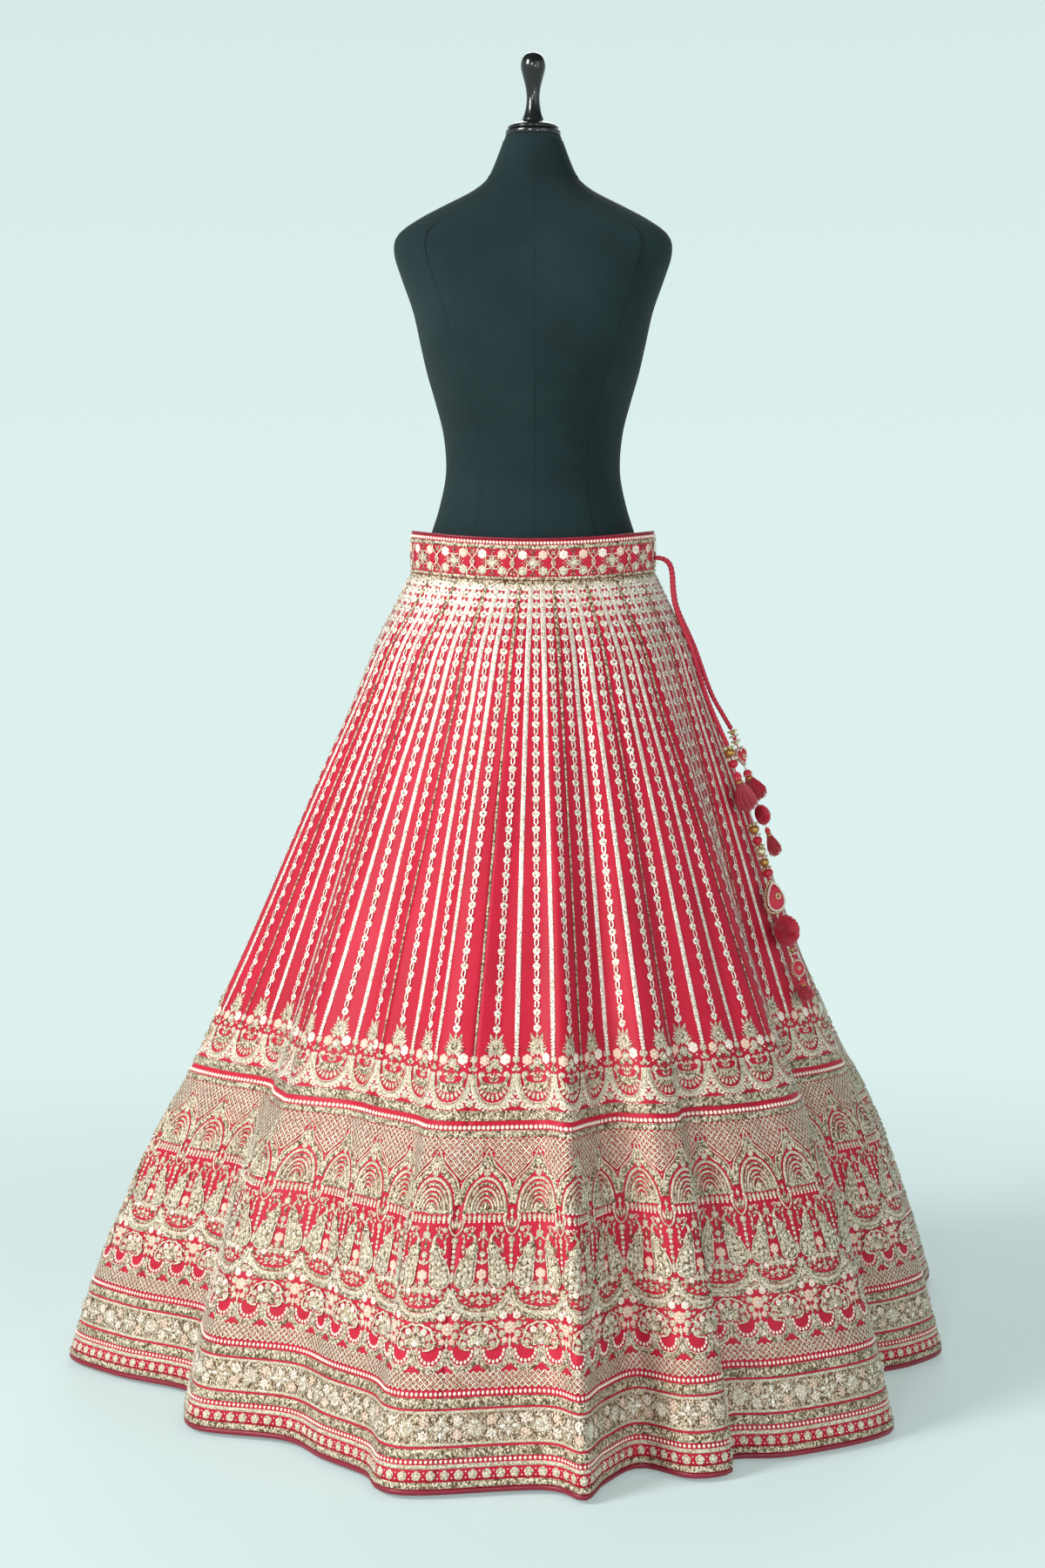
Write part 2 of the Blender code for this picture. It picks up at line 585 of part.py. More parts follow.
def add_strand_piece(row):
    name, cord, kind, hangs_from, top, bottom, tail, half_width, count = row
    end, facing = STRANDS[cord]
    start = Vector(CORD_ROUTES[cord][-1])
    down = (Vector(end) - start).normalized()
    facing = Vector(facing)
    facing = (facing - down * facing.dot(down)).normalized()
    across = facing.cross(down)
    hangs_from, top, bottom, tail, half_width = (
        mm / 1000 for mm in (hangs_from, top, bottom, tail, half_width))
    lead, length = top - hangs_from - SEAM_GAP, bottom - top - SEAM_GAP
    if kind == "beads":
        vertices, faces = bead_shape(lead, length, half_width, count, tail)
    elif kind == "tassel":
        vertices, faces = tassel_shape(lead, length, half_width, count)
    elif kind == "pompom":
        vertices, faces = pompom_shape(lead, length, half_width, count)
    else:
        vertices, faces = pendant_shape(kind, length, half_width, count)
    press = STRAND_PRESS if kind in ("tassel", "pompom") else 1.0
    placed = [start + down * (top - v[2]) + across * v[0] + facing * (v[1] * press)
              for v in vertices]
    finish = "gold beads" if kind == "beads" else "tassel yarn"
    made = add_object(name, placed, faces, finish)
    work = bmesh.new()
    work.from_mesh(made.data)
    bmesh.ops.recalc_face_normals(work, faces=work.faces)
    work.to_mesh(made.data)
    work.free()


# ---- assembly -------------------------------------------------------------------
def clear_scene():
    for old in list(bpy.data.objects):
        bpy.data.objects.remove(old, do_unlink=True)


def build():
    clear_scene()
    for number in range(PANELS):
        add_kali(number)
    add_bands()
    add_pipings()
    add_form()
    add_stand()
    for name in CORD_ROUTES:
        add_cord(name)
    for row in STRAND_PIECES:
        add_strand_piece(row)


build()
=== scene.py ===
"""Looks of a bridal lehenga skirt on its limbless dress form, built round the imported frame.

Metres, +Z up, the skirt's front towards -Y. Embroidery is drawn in millimetres: x along
the hem from the middle of a repeat, y up from the floor, and lift out of the cloth.
"""
import math

import bpy
import numpy as np
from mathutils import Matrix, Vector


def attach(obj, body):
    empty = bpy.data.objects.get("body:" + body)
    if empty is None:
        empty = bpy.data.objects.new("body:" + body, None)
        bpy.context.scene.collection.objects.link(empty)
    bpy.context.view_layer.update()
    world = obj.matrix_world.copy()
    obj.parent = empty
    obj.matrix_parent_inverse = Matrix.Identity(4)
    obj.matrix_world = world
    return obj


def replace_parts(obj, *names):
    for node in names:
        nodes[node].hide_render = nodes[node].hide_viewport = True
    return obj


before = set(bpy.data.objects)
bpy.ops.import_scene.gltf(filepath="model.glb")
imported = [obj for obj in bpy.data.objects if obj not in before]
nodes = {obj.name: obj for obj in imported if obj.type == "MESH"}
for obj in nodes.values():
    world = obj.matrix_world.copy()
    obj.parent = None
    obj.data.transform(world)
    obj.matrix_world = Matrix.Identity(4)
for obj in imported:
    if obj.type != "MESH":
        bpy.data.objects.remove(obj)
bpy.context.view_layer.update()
scene = bpy.context.scene


# ---- camera ----
# A portrait lens four steps back from the form, level with its waist and tipped a
# little down, so that the hem and the finial both stand inside the picture.
CAMERA_PLACE = (-0.0129, -3.713, 0.984)
CAMERA_TILT = 85.953
CAMERA_LENS = 69.15


def link(made):
    scene.collection.objects.link(made)
    return made


camera_data = bpy.data.cameras.new("camera")
camera_data.lens = CAMERA_LENS
camera_data.sensor_width = 36.0
camera = link(bpy.data.objects.new("camera", camera_data))
camera.location = CAMERA_PLACE
camera.rotation_euler = (math.radians(CAMERA_TILT), 0.0, 0.0)
scene.camera = camera


# ---- studio floor and light ----
# A plain pale floor that glows with the backdrop's light: wholly far out, where it fades
# into the backdrop, and partly in its middle, which paints light into the skirt's shadow.
# It lies under a strong lamp on the left, a wider and weaker one on the right, one behind,
# and two small ones in front that make the sequins glint.
def dye(red, green, blue):
    """A colour given as it looks, 0 to 255, as the shader's linear colour."""
    return (*(((c / 255 + 0.055) / 1.055) ** 2.4 for c in (red, green, blue)), 1.0)


class Wire:
    """One socket of a shader's nodes, so that sums on it read as plain expressions."""

    def __init__(self, tree, socket=None):
        self.tree = tree
        self.socket = socket

    def feed(self, target, value):
        if isinstance(value, Wire):
            self.tree.links.new(value.socket, target)
        else:
            target.default_value = value

    def node(self, kind, settings, sockets, output=0):
        """Any node: its settings first, then the values or links of its sockets."""
        made = self.tree.nodes.new(kind)
        for name, value in settings.items():
            if name == "stops":
                for stop, (place, shade) in zip(made.color_ramp.elements, value):
                    stop.position = place
                    stop.color = (shade, shade, shade, 1.0)
            else:
                setattr(made, name, value)
        for name, value in sockets.items():
            self.feed(made.inputs[name], value)
        return Wire(self.tree, made.outputs[output])

    def paint(self, sockets):
        """Values or wires for the sockets of the finish's own shader."""
        for name, value in sockets.items():
            self.feed(self.tree.nodes["Principled BSDF"].inputs[name], value)

    def maths(self, operation, first, second):
        return self.node("ShaderNodeMath", {"operation": operation}, {0: first, 1: second})

    def __add__(self, other):
        return self.maths("ADD", self, other)

    __radd__ = __add__

    def __sub__(self, other):
        return self.maths("SUBTRACT", self, other)

    def __rsub__(self, other):
        return self.maths("SUBTRACT", other, self)

    def __mul__(self, other):
        return self.maths("MULTIPLY", self, other)

    __rmul__ = __mul__

    def between(self, low, high):
        """The colour between two, by this share."""
        return self.node("ShaderNodeMix", {"data_type": "RGBA"}, {0: self, 6: low, 7: high}, 2)

    def ramp(self, *stops):
        """Grey from each stop's place and shade."""
        return self.node("ShaderNodeValToRGB", {"stops": stops}, {"Fac": self})

    def stretched(self, x, y, z):
        """A coordinate multiplied by a scale of its own on each axis."""
        return self.node("ShaderNodeVectorMath", {"operation": "MULTIPLY"},
                         {0: self, 1: (x, y, z)})

    def noise(self, scale, detail=2.0):
        return self.node("ShaderNodeTexNoise", {},
                         {"Vector": self, "Scale": scale, "Detail": detail})

    def cells(self, scale, output="Distance"):
        return self.node("ShaderNodeTexVoronoi", {}, {"Vector": self, "Scale": scale}, output)


def new_finish(name):
    """A material and a wire to build its nodes with."""
    made = bpy.data.materials.new(name)
    made.use_nodes = True
    return made, Wire(made.node_tree)


def place_of(wire, kind="Object"):
    return wire.node("ShaderNodeTexCoord", {}, {}, kind)


BACKDROP = dye(223, 243, 241)
BACKDROP_LIGHT = 0.98
BACKDROP_TOP_LIGHT = 0.90
BACKDROP_TOP = 0.25             # as a share of the way from the horizon to overhead
CEILING_FROM = 0.55             # and where the dim ceiling starts
CEILING_LIGHT = 0.12
FLOOR_REACH = 40.0
FLOOR_SIDES = 72
FLOOR_TINTS = dye(216, 232, 233), dye(211, 228, 229)
FLOOR_FADES = (0.66, 2.7)       # from the middle of the floor, where it turns into backdrop
# Painted light: the floor's middle glows with this share of the backdrop's light, lifting the
# skirt's shadow.
FLOOR_MIDDLE_GLOW = 0.4                # share of backdrop in the floor's middle
LAMPS = (
    # place, size, watts, colour
    ((-4.0, -2.9, 3.5), 1.9, 330.0, (1.0, 0.99, 0.97)),
    ((3.6, -3.6, 2.2), 2.6, 38.0, (0.97, 1.0, 1.0)),
    ((0.4, 3.8, 3.6), 2.6, 70.0, (0.98, 1.0, 1.0)),
    ((-0.9, -4.4, 2.3), 0.35, 30.0, (1.0, 1.0, 1.0)),
    ((1.3, -4.1, 1.5), 0.30, 20.0, (1.0, 1.0, 1.0)),
)
LAMP_AIM = (0.0, 0.0, 1.0)


def floor_finish():
    made, wire = new_finish("pale floor")
    spot = place_of(wire)
    away = wire.node("ShaderNodeVectorMath", {"operation": "LENGTH"}, {0: spot}, "Value")
    near, far = FLOOR_FADES
    # Painted light: the floor glows with the backdrop's light, wholly far out and by a share in
    # its middle, which lightens the skirt's cast shadow.
    fade = wire.node("ShaderNodeMapRange", {"interpolation_type": "SMOOTHSTEP"},
                     {"Value": away, "From Min": near, "From Max": far, "To Min": FLOOR_MIDDLE_GLOW})
    wire.paint({"Base Color": spot.noise(0.9).between(*FLOOR_TINTS), "Roughness": 0.7})
    backdrop = wire.node("ShaderNodeEmission", {}, {"Color": BACKDROP, "Strength": BACKDROP_LIGHT})
    painted = Wire(wire.tree, wire.tree.nodes["Principled BSDF"].outputs[0])
    surface = wire.node("ShaderNodeMixShader", {}, {0: fade, 1: painted, 2: backdrop})
    wire.feed(wire.tree.nodes["Material Output"].inputs["Surface"], surface)
    return made


def lay_floor():
    mesh = bpy.data.meshes.new("studio_floor")
    turns = [math.radians(360 // FLOOR_SIDES * step) for step in range(FLOOR_SIDES)]
    mesh.from_pydata([(FLOOR_REACH * math.cos(t), FLOOR_REACH * math.sin(t), 0.0)
                      for t in turns], [], [tuple(range(FLOOR_SIDES))])
    mesh.materials.append(floor_finish())
    link(bpy.data.objects.new("studio_floor", mesh))


def hang_lamps():
    for number, (place, size, watts, colour) in enumerate(LAMPS):
        lamp = bpy.data.lights.new(f"lamp_{number}", "AREA")
        lamp.size = size
        lamp.energy = watts
        lamp.color = colour
        made = link(bpy.data.objects.new(lamp.name, lamp))
        made.location = place
        aim = Vector(LAMP_AIM) - made.location
        made.rotation_euler = aim.to_track_quat("-Z", "Y").to_euler()


def light_backdrop():
    """Bright where the backdrop stands, and dimmer overhead."""
    world = bpy.data.worlds.new("studio")
    world.use_nodes = True
    wire = Wire(world.node_tree)
    height = wire.node("ShaderNodeSeparateXYZ", {}, {0: place_of(wire, "Generated")}, "Z")
    risen = wire.node("ShaderNodeMapRange", {},
                      {"Value": height, "From Min": 0.0, "From Max": BACKDROP_TOP,
                       "To Min": BACKDROP_LIGHT, "To Max": BACKDROP_TOP_LIGHT})
    dimmed = wire.node("ShaderNodeMapRange", {"interpolation_type": "SMOOTHSTEP"},
                       {"Value": height, "From Min": BACKDROP_TOP, "From Max": CEILING_FROM,
                        "To Min": risen, "To Max": CEILING_LIGHT})
    sky = world.node_tree.nodes["Background"]
    sky.inputs["Color"].default_value = BACKDROP
    wire.feed(sky.inputs["Strength"], dimmed)
    scene.world = world


lay_floor()
hang_lamps()
light_backdrop()
scene.view_settings.view_transform = "Standard"


# ---- the kalis ----
# Twenty flared panels of crimson raw silk, each a cut trapezium with a cotton facing
# behind it, sewn side by side. They hang from the waist and break into deep flutes.
KALIS = 20
KALI_COLUMNS = 22
KALI_ROWS = 44
WALL = 0.002                # silk and facing together
SEAM_GAP = 0.0003
CUT_APART = 0.5             # between the kalis as they lie on the uncut silk
NEAR_BY = 0.001             # share of the hem over which a seam's width is measured
HEM_HEIGHT = 0.0113
TOP_HEIGHT = 0.972
CLOTH_RISE = TOP_HEIGHT - HEM_HEIGHT
TOP_RISE_AT_SIDES = 0.010   # the waist sits this much higher over the hips than in front
WAIST_HALF_WIDTH = 0.149
WAIST_HALF_DEPTH = 0.098
WAIST_FIRST_SEAM = 0.024    # round the waist from the front middle
FIRST_SEAM_BEARING = 7.5    # and where that seam meets the hem, in degrees
FOLD_FADE = 1.7             # how soon the flutes die out above the hem
FOLD_SPREAD = 0.030         # share of the hem over which its flutes are averaged out
CREASE_FADE = 0.9           # how soon a crease starts and ends
LINE_POINTS = 1200

# The hem's line in plan: each crest, trough and shoulder of its flutes, with its bearing
# in degrees from the front towards +X and its reach from the form's axis.
HEM_LINE = (
    # bearing, reach
    (-12, 0.592), (1, 0.560), (5, 0.600), (8, 0.545), (13.5, 0.494), (18, 0.545),
    (23, 0.545), (26, 0.500), (33, 0.522), (46, 0.536), (53, 0.515), (63, 0.420),
    (72, 0.395), (83, 0.470), (92, 0.514), (101, 0.475), (111, 0.435), (120, 0.570),
    (128, 0.700), (135, 0.630), (144, 0.490), (152, 0.560), (160, 0.620), (171, 0.500),
    (182, 0.630), (194, 0.500), (207, 0.640), (219, 0.490), (235, 0.660), (244, 0.590),
    (255, 0.445), (263, 0.520), (271, 0.578), (281, 0.520), (293, 0.447), (303, 0.485),
    (311, 0.510), (323, 0.470), (332, 0.503), (340, 0.540), (343.5, 0.585),
)
# How far the skirt has flared from the waist's size to the hem's, by height.
FLARE = (
    # height share, flare
    (0.000, 1.000), (0.128, 0.916), (0.266, 0.803), (0.378, 0.674), (0.516, 0.532),
    (0.711, 0.342), (0.850, 0.196), (0.911, 0.134), (0.961, 0.058), (1.000, 0.000),
)
# Soft creases: where each starts low on the cloth and where it dies out above, as shares
# of the hem and of the height, then its half width and how far it goes in or out.
CREASES = (
    # low around, low up, high around, high up, half width, depth
    (0.012, 0.10, 0.010, 0.52, 0.016, -0.0051), (0.031, 0.22, 0.034, 0.66, 0.013, 0.0039),
    (0.052, 0.06, 0.049, 0.40, 0.020, -0.0045), (0.083, 0.30, 0.088, 0.74, 0.012, -0.0042),
    (0.118, 0.12, 0.110, 0.46, 0.018, 0.0048), (0.141, 0.38, 0.136, 0.80, 0.011, -0.0036),
    (0.205, 0.18, 0.214, 0.60, 0.016, 0.0042), (0.262, 0.10, 0.255, 0.48, 0.020, -0.0054),
    (0.301, 0.34, 0.306, 0.78, 0.012, 0.0036), (0.348, 0.14, 0.340, 0.55, 0.018, -0.0048),
    (0.392, 0.28, 0.398, 0.70, 0.014, 0.0042), (0.437, 0.08, 0.431, 0.42, 0.020, -0.0051),
    (0.476, 0.32, 0.482, 0.76, 0.012, -0.0039), (0.518, 0.16, 0.511, 0.58, 0.017, 0.0045),
    (0.561, 0.26, 0.566, 0.69, 0.013, -0.0045), (0.603, 0.09, 0.598, 0.45, 0.019, 0.0051),
    (0.648, 0.36, 0.653, 0.79, 0.011, -0.0036), (0.690, 0.13, 0.684, 0.51, 0.018, -0.0051),
    (0.731, 0.24, 0.737, 0.66, 0.014, 0.0042), (0.776, 0.11, 0.770, 0.47, 0.019, -0.0054),
    (0.815, 0.33, 0.820, 0.77, 0.012, 0.0037), (0.858, 0.15, 0.851, 0.56, 0.017, -0.0046),
    (0.896, 0.27, 0.902, 0.71, 0.013, 0.0042), (0.931, 0.08, 0.926, 0.43, 0.019, -0.0049),
    (0.958, 0.35, 0.963, 0.78, 0.012, -0.0039), (0.985, 0.17, 0.980, 0.57, 0.015, 0.0045),
    (0.022, 0.70, 0.024, 0.985, 0.006, -0.0024), (0.060, 0.74, 0.058, 0.990, 0.006, 0.0023),
    (0.097, 0.68, 0.100, 0.980, 0.007, -0.0025), (0.330, 0.70, 0.332, 0.985, 0.006, -0.0024),
    (0.455, 0.73, 0.452, 0.990, 0.006, 0.0023), (0.540, 0.69, 0.543, 0.985, 0.007, -0.0027),
    (0.668, 0.72, 0.665, 0.990, 0.006, -0.0023), (0.842, 0.70, 0.845, 0.985, 0.007, 0.0024),
    (0.945, 0.71, 0.943, 0.985, 0.006, -0.0025),
)


def through(points, steps, closed=False):
    """A smooth curve through given points, the same steps between each pair."""
    points = np.array(points, float)
    if closed:
        points = np.vstack([points[-1:], points, points[:2]])
    else:
        points = np.vstack([2 * points[0] - points[1], points, 2 * points[-1] - points[-2]])
    t = np.linspace(0.0, 1.0, steps, endpoint=False)[None, :, None]
    before, here, after, beyond = (points[i:len(points) - 3 + i, None] for i in range(4))
    curve = 0.5 * (2 * here + (after - before) * t
                   + (2 * before - 5 * here + 4 * after - beyond) * t ** 2
                   + (3 * here - before - 3 * after + beyond) * t ** 3)
    curve = curve.reshape(-1, points.shape[1])
    return curve if closed else np.vstack([curve, points[-2:-1]])


def spaced_evenly(curve, start):
    """The same ring with points at equal steps along it, from index start."""
    ring = np.roll(curve, -start, axis=0)
    ring = np.vstack([ring, ring[:1]])
    along = np.concatenate([[0.0], np.cumsum(np.linalg.norm(np.diff(ring, axis=0), axis=1))])
    wanted = np.linspace(0.0, along[-1], LINE_POINTS, endpoint=False)
    return np.stack([np.interp(wanted, along, ring[:, axis]) for axis in (0, 1)], axis=1)


def hem_ring():
    bearings, reaches = np.array(HEM_LINE).T
    bearings = np.radians(bearings)
    controls = np.stack([reaches * np.sin(bearings), -reaches * np.cos(bearings)], axis=1)
    curve = through(controls, 60, closed=True)
    bearing = np.degrees(np.arctan2(curve[:, 0], -curve[:, 1]))
    return spaced_evenly(curve, int(np.argmin(np.abs(bearing - FIRST_SEAM_BEARING))))


def soft_ring(ring):
    """The hem without its flutes: each point averaged over its stretch of hem."""
    waves = np.fft.fftfreq(LINE_POINTS, 1.0 / LINE_POINTS)
    keep = np.exp(-0.5 * (2 * math.pi * waves * FOLD_SPREAD) ** 2)
    return np.stack([np.fft.ifft(np.fft.fft(ring[:, axis]) * keep).real for axis in (0, 1)],
                    axis=1)


def waist_ring():
    turn = np.linspace(0.0, 2 * math.pi, 4 * LINE_POINTS, endpoint=False)
    curve = np.stack([WAIST_HALF_WIDTH * np.sin(turn), -WAIST_HALF_DEPTH * np.cos(turn)], axis=1)
    along = np.cumsum(np.linalg.norm(np.diff(curve, axis=0), axis=1))
    return spaced_evenly(curve, int(np.searchsorted(along, WAIST_FIRST_SEAM)))


HEM = hem_ring()
SOFT_HEM = soft_ring(HEM)
WAIST = waist_ring()


def read_ring(ring, around):
    place = (np.asarray(around, float) % 1.0) * LINE_POINTS
    low = np.floor(place).astype(int) % LINE_POINTS
    part = (place - np.floor(place))[..., None]
    return ring[low] * (1 - part) + ring[(low + 1) % LINE_POINTS] * part


def top_height(around):
    waist = read_ring(WAIST, around)
    return TOP_HEIGHT + TOP_RISE_AT_SIDES * (waist[..., 0] / WAIST_HALF_WIDTH) ** 2


def smooth_flare(up):
    """The flare table read without corners at its rows."""
    curve = through(FLARE, 12)
    return np.interp(up, curve[:, 0], curve[:, 1])


def hanging_cloth(around, up):
    """Outer face of the kalis before its creases."""
    flare = smooth_flare(up)[..., None]
    soft = read_ring(SOFT_HEM, around)
    flute = read_ring(HEM, around) - soft
    plan = read_ring(WAIST, around) * (1 - flare) + soft * flare + flute * flare ** FOLD_FADE
    height = HEM_HEIGHT + (top_height(around) - HEM_HEIGHT) * up
    return np.concatenate([plan, height[..., None]], axis=-1)


def crease_depth(around, up, girth):
    """How far the creases push the cloth in or out."""
    depth = np.zeros_like(up)
    for low, low_up, high, high_up, half_width, push in CREASES:
        share = np.clip((up - low_up) / (high_up - low_up), 0.0, 1.0)
        off = (around - low - (high - low) * share + 0.5) % 1.0 - 0.5
        fade = np.sin(math.pi * share) ** CREASE_FADE
        depth += push * fade * np.exp(-((off * girth / half_width) ** 2))
    return depth


GRID_COLUMNS = 1600         # the cloth is worked out once, on a fine grid
GRID_ROWS = 200


def cloth_grids():
    """Points and outward directions of the creased cloth on a fine grid."""
    around, up = np.meshgrid(np.arange(GRID_COLUMNS) / GRID_COLUMNS,
                             np.linspace(0.0, 1.0, GRID_ROWS + 1))
    points = hanging_cloth(around, up)

    def outward(grid):
        across = np.roll(grid, -1, axis=1) - np.roll(grid, 1, axis=1)
        normal = np.cross(across, np.gradient(grid, axis=0))
        return normal / np.linalg.norm(normal, axis=-1, keepdims=True)

    steps = np.linalg.norm(np.roll(points, -1, axis=1) - points, axis=-1)
    girth = steps.sum(axis=1, keepdims=True)
    points = points + outward(points) * crease_depth(around, up, girth)[..., None]
    return points, outward(points)


CLOTH, CLOTH_OUT = cloth_grids()


def read_grid(grid, around, up):
    column = (np.asarray(around, float) % 1.0) * GRID_COLUMNS
    rise = np.clip(np.asarray(up, float), 0.0, 1.0) * GRID_ROWS
    left = np.floor(column).astype(int) % GRID_COLUMNS
    low = np.minimum(np.floor(rise).astype(int), GRID_ROWS - 1)
    x = (column - np.floor(column))[..., None]
    y = (rise - low)[..., None]
    right = (left + 1) % GRID_COLUMNS
    return ((grid[low, left] * (1 - x) + grid[low, right] * x) * (1 - y)
            + (grid[low + 1, left] * (1 - x) + grid[low + 1, right] * x) * y)


def bump(wire, height, distance):
    return wire.node("ShaderNodeBump", {}, {"Height": height, "Distance": distance})


def raw_silk():
    """Crimson raw silk: slubbed weft across the kali, fine warp, and a soft lustre."""
    made, wire = new_finish("crimson raw silk")
    cut = place_of(wire, "UV")
    slub = cut.stretched(30.0, 900.0, 1.0).noise(1.0, 3.0)
    warp = cut.stretched(1400.0, 60.0, 1.0).noise(1.0, 2.0)
    tone = cut.stretched(5.0, 9.0, 1.0).noise(1.0, 2.0)
    colour = (slub * 0.5 + tone * 0.5).ramp((0.34, 0.0), (0.68, 1.0))
    wire.paint({"Base Color": colour.between(dye(168, 12, 40), dye(196, 21, 54)),
                "Roughness": 0.46 + slub * 0.22,
                "Normal": bump(wire, slub * 0.7 + warp * 0.3, 0.00035),
                "Specular IOR Level": 0.28, "Sheen Weight": 0.06,
                "Sheen Tint": dye(255, 120, 150)})
    return made


def facing_cotton():
    made, wire = new_finish("dark red facing")
    weave = place_of(wire, "UV").stretched(1000.0, 1000.0, 1.0).noise(1.0, 1.0)
    wire.paint({"Base Color": weave.between(dye(118, 12, 36), dye(140, 18, 44)),
                "Roughness": 0.85, "Normal": bump(wire, weave, 0.0002)})
    return made


def add_piece(name, points, faces, finishes, finish_of_face=None, cut=None):
    """A piece that rides with the frame, from its points, faces and finishes."""
    mesh = bpy.data.meshes.new(name)
    faces = np.asarray(faces)
    sides = faces.shape[1]
    mesh.vertices.add(len(points))
    mesh.vertices.foreach_set("co", np.asarray(points, np.float32).ravel())
    mesh.loops.add(faces.size)
    mesh.loops.foreach_set("vertex_index", faces.astype(np.int32).ravel())
    mesh.polygons.add(len(faces))
    mesh.polygons.foreach_set("loop_start", np.arange(len(faces), dtype=np.int32) * sides)
    for finish in finishes:
        mesh.materials.append(finish)
    if finish_of_face is not None:
        mesh.polygons.foreach_set("material_index", np.asarray(finish_of_face, np.int32))
    if cut is not None:
        layer = mesh.uv_layers.new(name="cut")
        layer.data.foreach_set("uv", np.asarray(cut, np.float32)[faces.ravel()].ravel())
    mesh.update(calc_edges=True)
    mesh.validate()
    mesh.shade_smooth()
    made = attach(link(bpy.data.objects.new(name, mesh)), "root")
    return made


def grid_cells(rows, columns, ring=False):
    """The four corners of each cell of a grid of points, which may close into a ring."""
    spans = columns if ring else columns - 1
    r, c = np.meshgrid(np.arange(rows - 1), np.arange(spans), indexing="ij")
    a, b = (r * columns + c).ravel(), (r * columns + (c + 1) % columns).ravel()
    return a, b, b + columns, a + columns


def wall_faces(rows, columns):
    """Faces of a closed wall, from its outer grid of points and then its inner one."""
    a, b, c, d = grid_cells(rows, columns)
    back, last, top = rows * columns, columns - 1, (rows - 1) * columns
    here = np.arange(columns - 1)
    low = np.arange(rows - 1) * columns
    after, high = here + 1, low + columns
    sides = ((a, b, c, d), (a + back, d + back, c + back, b + back),
             (here, here + back, after + back, after),
             (top + here, top + after, top + after + back, top + here + back),
             (low, high, high + back, low + back),
             (low + last, low + last + back, high + last + back, high + last))
    return np.concatenate([np.stack(side, axis=1) for side in sides])


def make_kali(number, finishes):
    """One kali between its two seams, with its flat cut as its UV map."""
    up = np.linspace(0.0, 1.0, KALI_ROWS + 1)[:, None]
    first, last = number / KALIS, (number + 1) / KALIS
    near = first + NEAR_BY
    ends = read_grid(CLOTH, first, up[:, 0]), read_grid(CLOTH, near, up[:, 0])
    width = np.linalg.norm(ends[1] - ends[0], axis=-1)[:, None] / NEAR_BY
    trim = SEAM_GAP / 2 / width
    share = np.linspace(0.0, 1.0, KALI_COLUMNS + 1)[None, :]
    around = (first + trim) * (1 - share) + (last - trim) * share
    up = np.broadcast_to(up, around.shape)
    outer = read_grid(CLOTH, around, up)
    inner = outer - read_grid(CLOTH_OUT, around, up) * WALL
    inner[[0, -1], :, 2] = outer[[0, -1], :, 2]
    steps = np.linalg.norm(np.diff(outer, axis=1), axis=-1)
    across = np.concatenate([np.zeros((len(up), 1)), np.cumsum(steps, axis=1)], axis=1)
    across -= across[:, -1:] / 2
    rise = np.linalg.norm(np.diff(outer[:, KALI_COLUMNS // 2], axis=0), axis=-1)
    height = np.concatenate([[0.0], np.cumsum(rise)])[:, None]
    cut = np.stack([across + number * CUT_APART, np.broadcast_to(height, across.shape)], axis=-1)
    faces = wall_faces(*around.shape)
    finish_of_face = np.zeros(len(faces), int)
    face_count = KALI_ROWS * KALI_COLUMNS
    finish_of_face[face_count:2 * face_count] = 1
    kali = add_piece(f"kali_cloth_{number + 1:02d}",
                     np.concatenate([outer.reshape(-1, 3), inner.reshape(-1, 3)]), faces,
                     finishes, finish_of_face, np.tile(cut.reshape(-1, 2), (2, 1)))
    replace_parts(kali, f"kali_{number + 1:02d}")
    side = "back" if outer[-1, KALI_COLUMNS // 2, 1] > 0.0 else "front"


SILK, FACING = raw_silk(), facing_cotton()
for kali_number in range(KALIS):
    make_kali(kali_number, (SILK, FACING))


# ---- waistband and piped edges ----
# A stiffened band of the same silk in a front and a back piece, seamed at the sides. Its
# top edge and the hem are finished with rolls of dark red satin over a cord.
BAND_HEIGHT = 0.048
BAND_WALL = 0.003
BAND_COLUMNS = 72
BAND_ROWS = 8
BAND_PROUD = 0.0005         # how far the band stands out from the kalis
BAND_CROWN = 0.0004         # how far the stitching makes the middle of the band swell
PIPING = 0.003
PIPING_SIDES = 10
HEM_PIPING_STEPS = 360
WAIST_PIPING_STEPS = 160
HEM_PIPING_FOOT = 0.005     # height of the hem's roll over the floor
HEM_PIPING_HALF = 0.0021    # half of its width


def waist_out(around):
    """The way that the waist's line faces, in plan."""
    out = read_ring(WAIST, around) / np.array([WAIST_HALF_WIDTH ** 2, WAIST_HALF_DEPTH ** 2])
    out = out / np.linalg.norm(out, axis=-1, keepdims=True)
    return np.concatenate([out, np.zeros((*out.shape[:-1], 1))], axis=-1)


def band_point(around, rise, proud):
    """A point of the band, rise metres above the kalis' top edge."""
    waist = read_ring(WAIST, around)
    rise = np.broadcast_to(rise, waist.shape[:-1])
    place = np.concatenate([waist, (top_height(around) + rise)[..., None]], axis=-1)
    return place + waist_out(around) * np.asarray(proud)[..., None]


